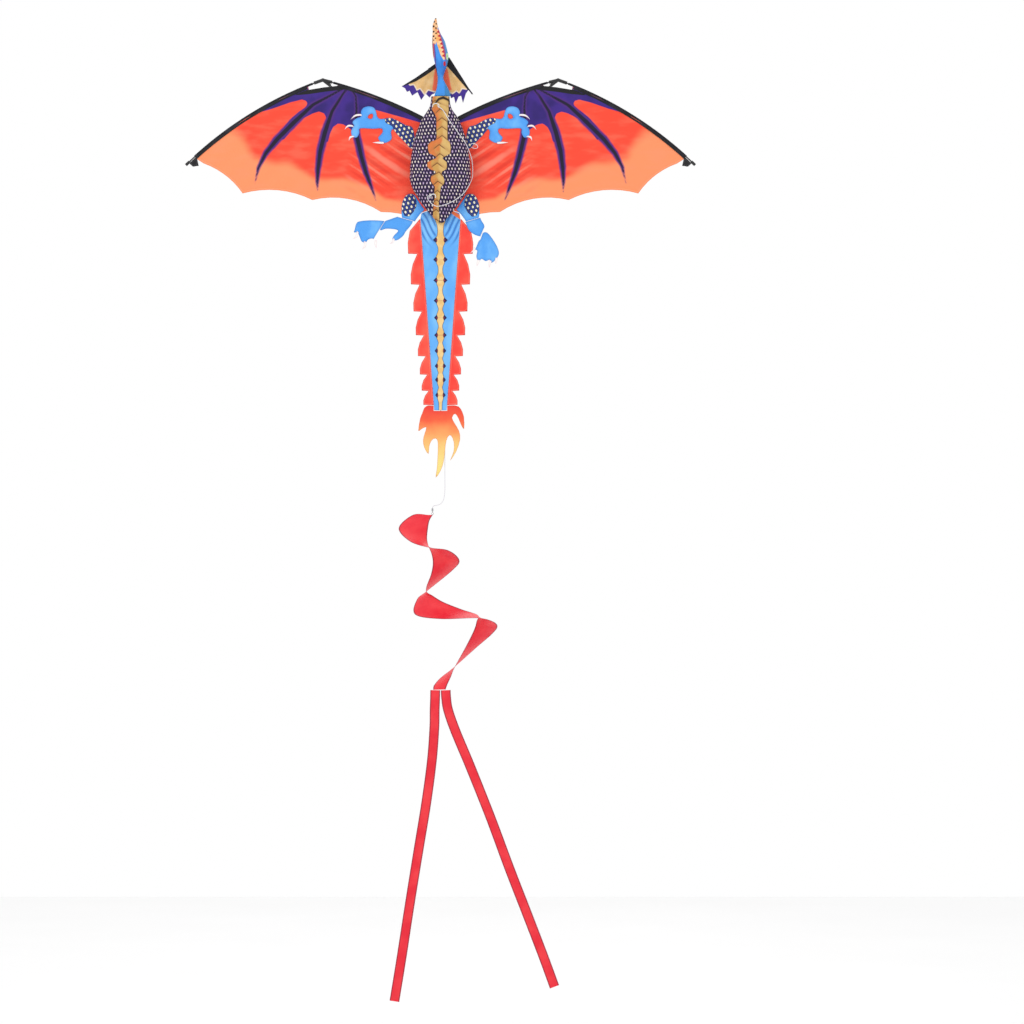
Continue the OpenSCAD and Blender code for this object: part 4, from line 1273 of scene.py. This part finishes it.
for k in range(7):
    low, high = 361 - k * 11.2, 371 - k * 11.2
    at_x = [np.interp(-h, [-373, -357, -334, -308, -288], [b[0] for b in BITE]) for h in (high, low)]
    point = ((at_x[0] + at_x[1]) / 2 - 7.5, (low + high) / 2 - 2)
    GUM.append([(at_x[0] + 1.5, high), (at_x[1] + 1.5, low), point])
LINE = [
    (-5, 376, 0.7), (1, 357, 1.3), (7.1, 336, 1.7), (13.2, 312, 1.8), (16.2, 290, 1.5),
    (14.7, 279, 0.8),
]
RIM = [(-17, 338, 0.8), (-14.5, 308, 1.5), (-12, 268, 1.4), (-9.5, 250, 0.8)]
SPOTS = [
    (-13.6, 403, 2.2), (-17.2, 394, 2.9), (-11.3, 388, 2.3), (-18.6, 381, 3.0), (-12, 376, 2.5),
    (-18.4, 366, 2.9), (-11.6, 361, 2.5), (-18.6, 353, 2.8), (-13.0, 347, 2.2), (-18, 342, 2.0),
]


def head_marks(at, y):
    front = np.where(y < PRINTED_FRONT, 0, -9)
    dots = np.max([r - np.hypot(at[:, 0] - a, at[:, 1] - b) for a, b, r in SPOTS], axis=0)
    eye = 1 - np.hypot((at[:, 0] - 19) / 2.8, (at[:, 1] - 297) / 9.5)
    corner = 1 - np.hypot((at[:, 0] - 12) / 3.4, (at[:, 1] - 276.5) / 6.5)
    gum = np.max([inside(at, g) for g in GUM], axis=0)
    gum = np.maximum(gum, stroke(at, [(a + 1.2, b, 0.9) for a, b in BITE]))
    crown = at[:, 0] - np.interp(-at[:, 1], [-380, -336, -290, -270, -240], [-4, 8, 16, 17, 12])
    return {
        "jaw": inside(at, JAW) + front,
        "teeth": inside(at, TEETH) + front,
        "gum": np.maximum(gum, corner * 3.4) + front,
        "cheek": inside(at, CHEEK) + front,
        "lip": stroke(at, [(-22, 350, 0.8), (-20.5, 320, 1.0), (-18, 296, 0.7)]) + front,
        "line": stroke(at, LINE) + front,
        "rim": stroke(at, RIM) + front,
        "spots": dots + front,
        "eye": eye * 3 + front,
        "crown": crown,
        "shade": stroke(at, [(-11, 264, 1.0), (-8, 238, 1.3), (-12, 212, 1.5), (-18, 195, 1.0)]) + front,
    }


def head_puff(rings):
    x, y, z = rings[..., 0], rings[..., 1], rings[..., 2]
    groove = 3.2 * np.exp(-(((x - (2 + (300 - z) * 0.12)) / 3.5) ** 2))
    groove = groove * smooth(z, 255, 300) * (1 - smooth(z, 350, 385))
    rings[..., 1] = y + (groove + 0.7 * np.sin(z / 6) * np.cos(x / 9)) * smooth(-y, 12, 22)
    return rings


head = loft("head_print", HEAD, 96, 12, head_marks, head_finish(), head_puff)
hand_over(head, "head_shell", "airframe")

# ------------------------------------------------------------------ spinning tail
SPIRAL = [
    (-22, -962, -34, 12, -962), (-31, -978, -77, 38, -962), (-35, -1002, -115, 0, -998),
    (-37, -1027, -83, -52, -1034), (-33, -1047, -30, -75, -1051), (-24, -1070, 22, -56, -1059),
    (-21, -1095, 52, -10, -1086), (-26, -1125, 33, 46, -1114), (-40, -1169, -38, 75, -1172),
    (-20, -1186, -66, 50, -1196), (10, -1203, -70, 0, -1236), (58, -1222, 0, -45, -1247),
    (103, -1238, 99, -72, -1244), (100, -1255, 140, -58, -1252), (96, -1270, 157, -20, -1268),
    (85, -1295, 140, 28, -1292), (67, -1330, 99, 55, -1328), (38, -1383, 36, 62, -1384),
    (28, -1408, 0, 50, -1412), (19, -1428, -18, 20, -1432), (14, -1443, -20, 0, -1443),
]
RIBBONS = {
    "left": [
        (-14.5, 0, -1444.8, 0), (-15, -2, -1470, 3), (-16, -5, -1500, 6), (-17, -3, -1550, 8),
        (-24, 2, -1640, 10), (-40, 6, -1760, 4), (-63, 2, -1900, -6), (-87, -5, -2050, -10),
        (-107, -4, -2180, -4), (-127, 2, -2302, 6),
    ],
    "right": [
        (14.5, 0, -1444.8, 0), (15.5, 1, -1465, 4), (21, 5, -1500, 10), (42, 6, -1560, 4),
        (84, 0, -1660, -6), (136, -6, -1790, -10), (188, -4, -1930, -2), (238, 3, -2060, 8),
        (284, 4, -2180, 10), (314, 0, -2262, 4),
    ],
}


def band(name, first, second, across, cloth, thick):
    """A strip of cloth between two edges, with its own map: across it, then along it."""
    m, n = len(first), across + 1
    grid = np.array([[a + (b - a) * i / across for i in range(n)] for a, b in zip(first, second)])
    starts = [k * n + i for k in range(m - 1) for i in range(across)]
    faces = [(v, v + 1, v + n + 1, v + n) for v in starts]
    mesh = bpy.data.meshes.new(name)
    mesh.from_pydata([tuple(p * MM) for row in grid for p in row], [], faces)
    wide = np.linalg.norm(second - first, axis=1)
    gone = run_lengths(grid[:, across // 2])
    full = float(np.median(wide))
    layer = mesh.uv_layers.new(name="cut")
    for face in mesh.polygons:
        for loop in face.loop_indices:
            k, i = divmod(mesh.loops[loop].vertex_index, n)
            inset = min(i, across - i) / across * wide[k]
            u = min(inset, full / 2)
            layer.data[loop].uv = ((u if i <= across / 2 else full - u) * MM, gone[k] * MM)
    piece = new_piece(name, mesh, ribbon_finish(cloth, full))
    shell(piece, thick)
    slant = np.cross(np.diff(grid, axis=0)[:, :-1], np.diff(grid, axis=1)[:-1])
    area = float(np.linalg.norm(slant, axis=2).sum()) * 1e-6
    return piece, area, float(gone[-1]), full


rails = curve_through(SPIRAL, 12)
inner = np.stack([rails[:, 0], 0 * rails[:, 0], rails[:, 1]], axis=1)
outer = rails[:, 2:5]
spiral, area, long, wide = band("spiral_ribbon", inner, outer, 14, "spiral_nylon", 0.7)
hand_over(spiral, "spinner", "spinning_tail")

FORWARD = np.array([0, 1, 0])
HALF_RIBBON = 13.5
for side, route in RIBBONS.items():
    line = curve_through(route, 12)
    at, lean = line[:, :3], np.radians(line[:, 3])[:, None]
    way = np.gradient(at, axis=0)
    flat_side = np.cross(way / np.linalg.norm(way, axis=1)[:, None], FORWARD)
    flat_side /= np.linalg.norm(flat_side, axis=1)[:, None]
    over = flat_side * np.cos(lean) + FORWARD * np.sin(lean)
    z = at[:, 2:]
    flutter = 2.0 * smooth(-z, 1450, 1520) * np.sin(z / 38 + (side == "left")) * FORWARD
    ends = (at - over * HALF_RIBBON + flutter, at + over * HALF_RIBBON + flutter)
    streamer, area, long, wide = band(f"streamer_{side}", *ends, 8, f"streamer_nylon_{side}", 0.6)
    hand_over(streamer, f"ribbon_{side}", f"{side}_ribbon")
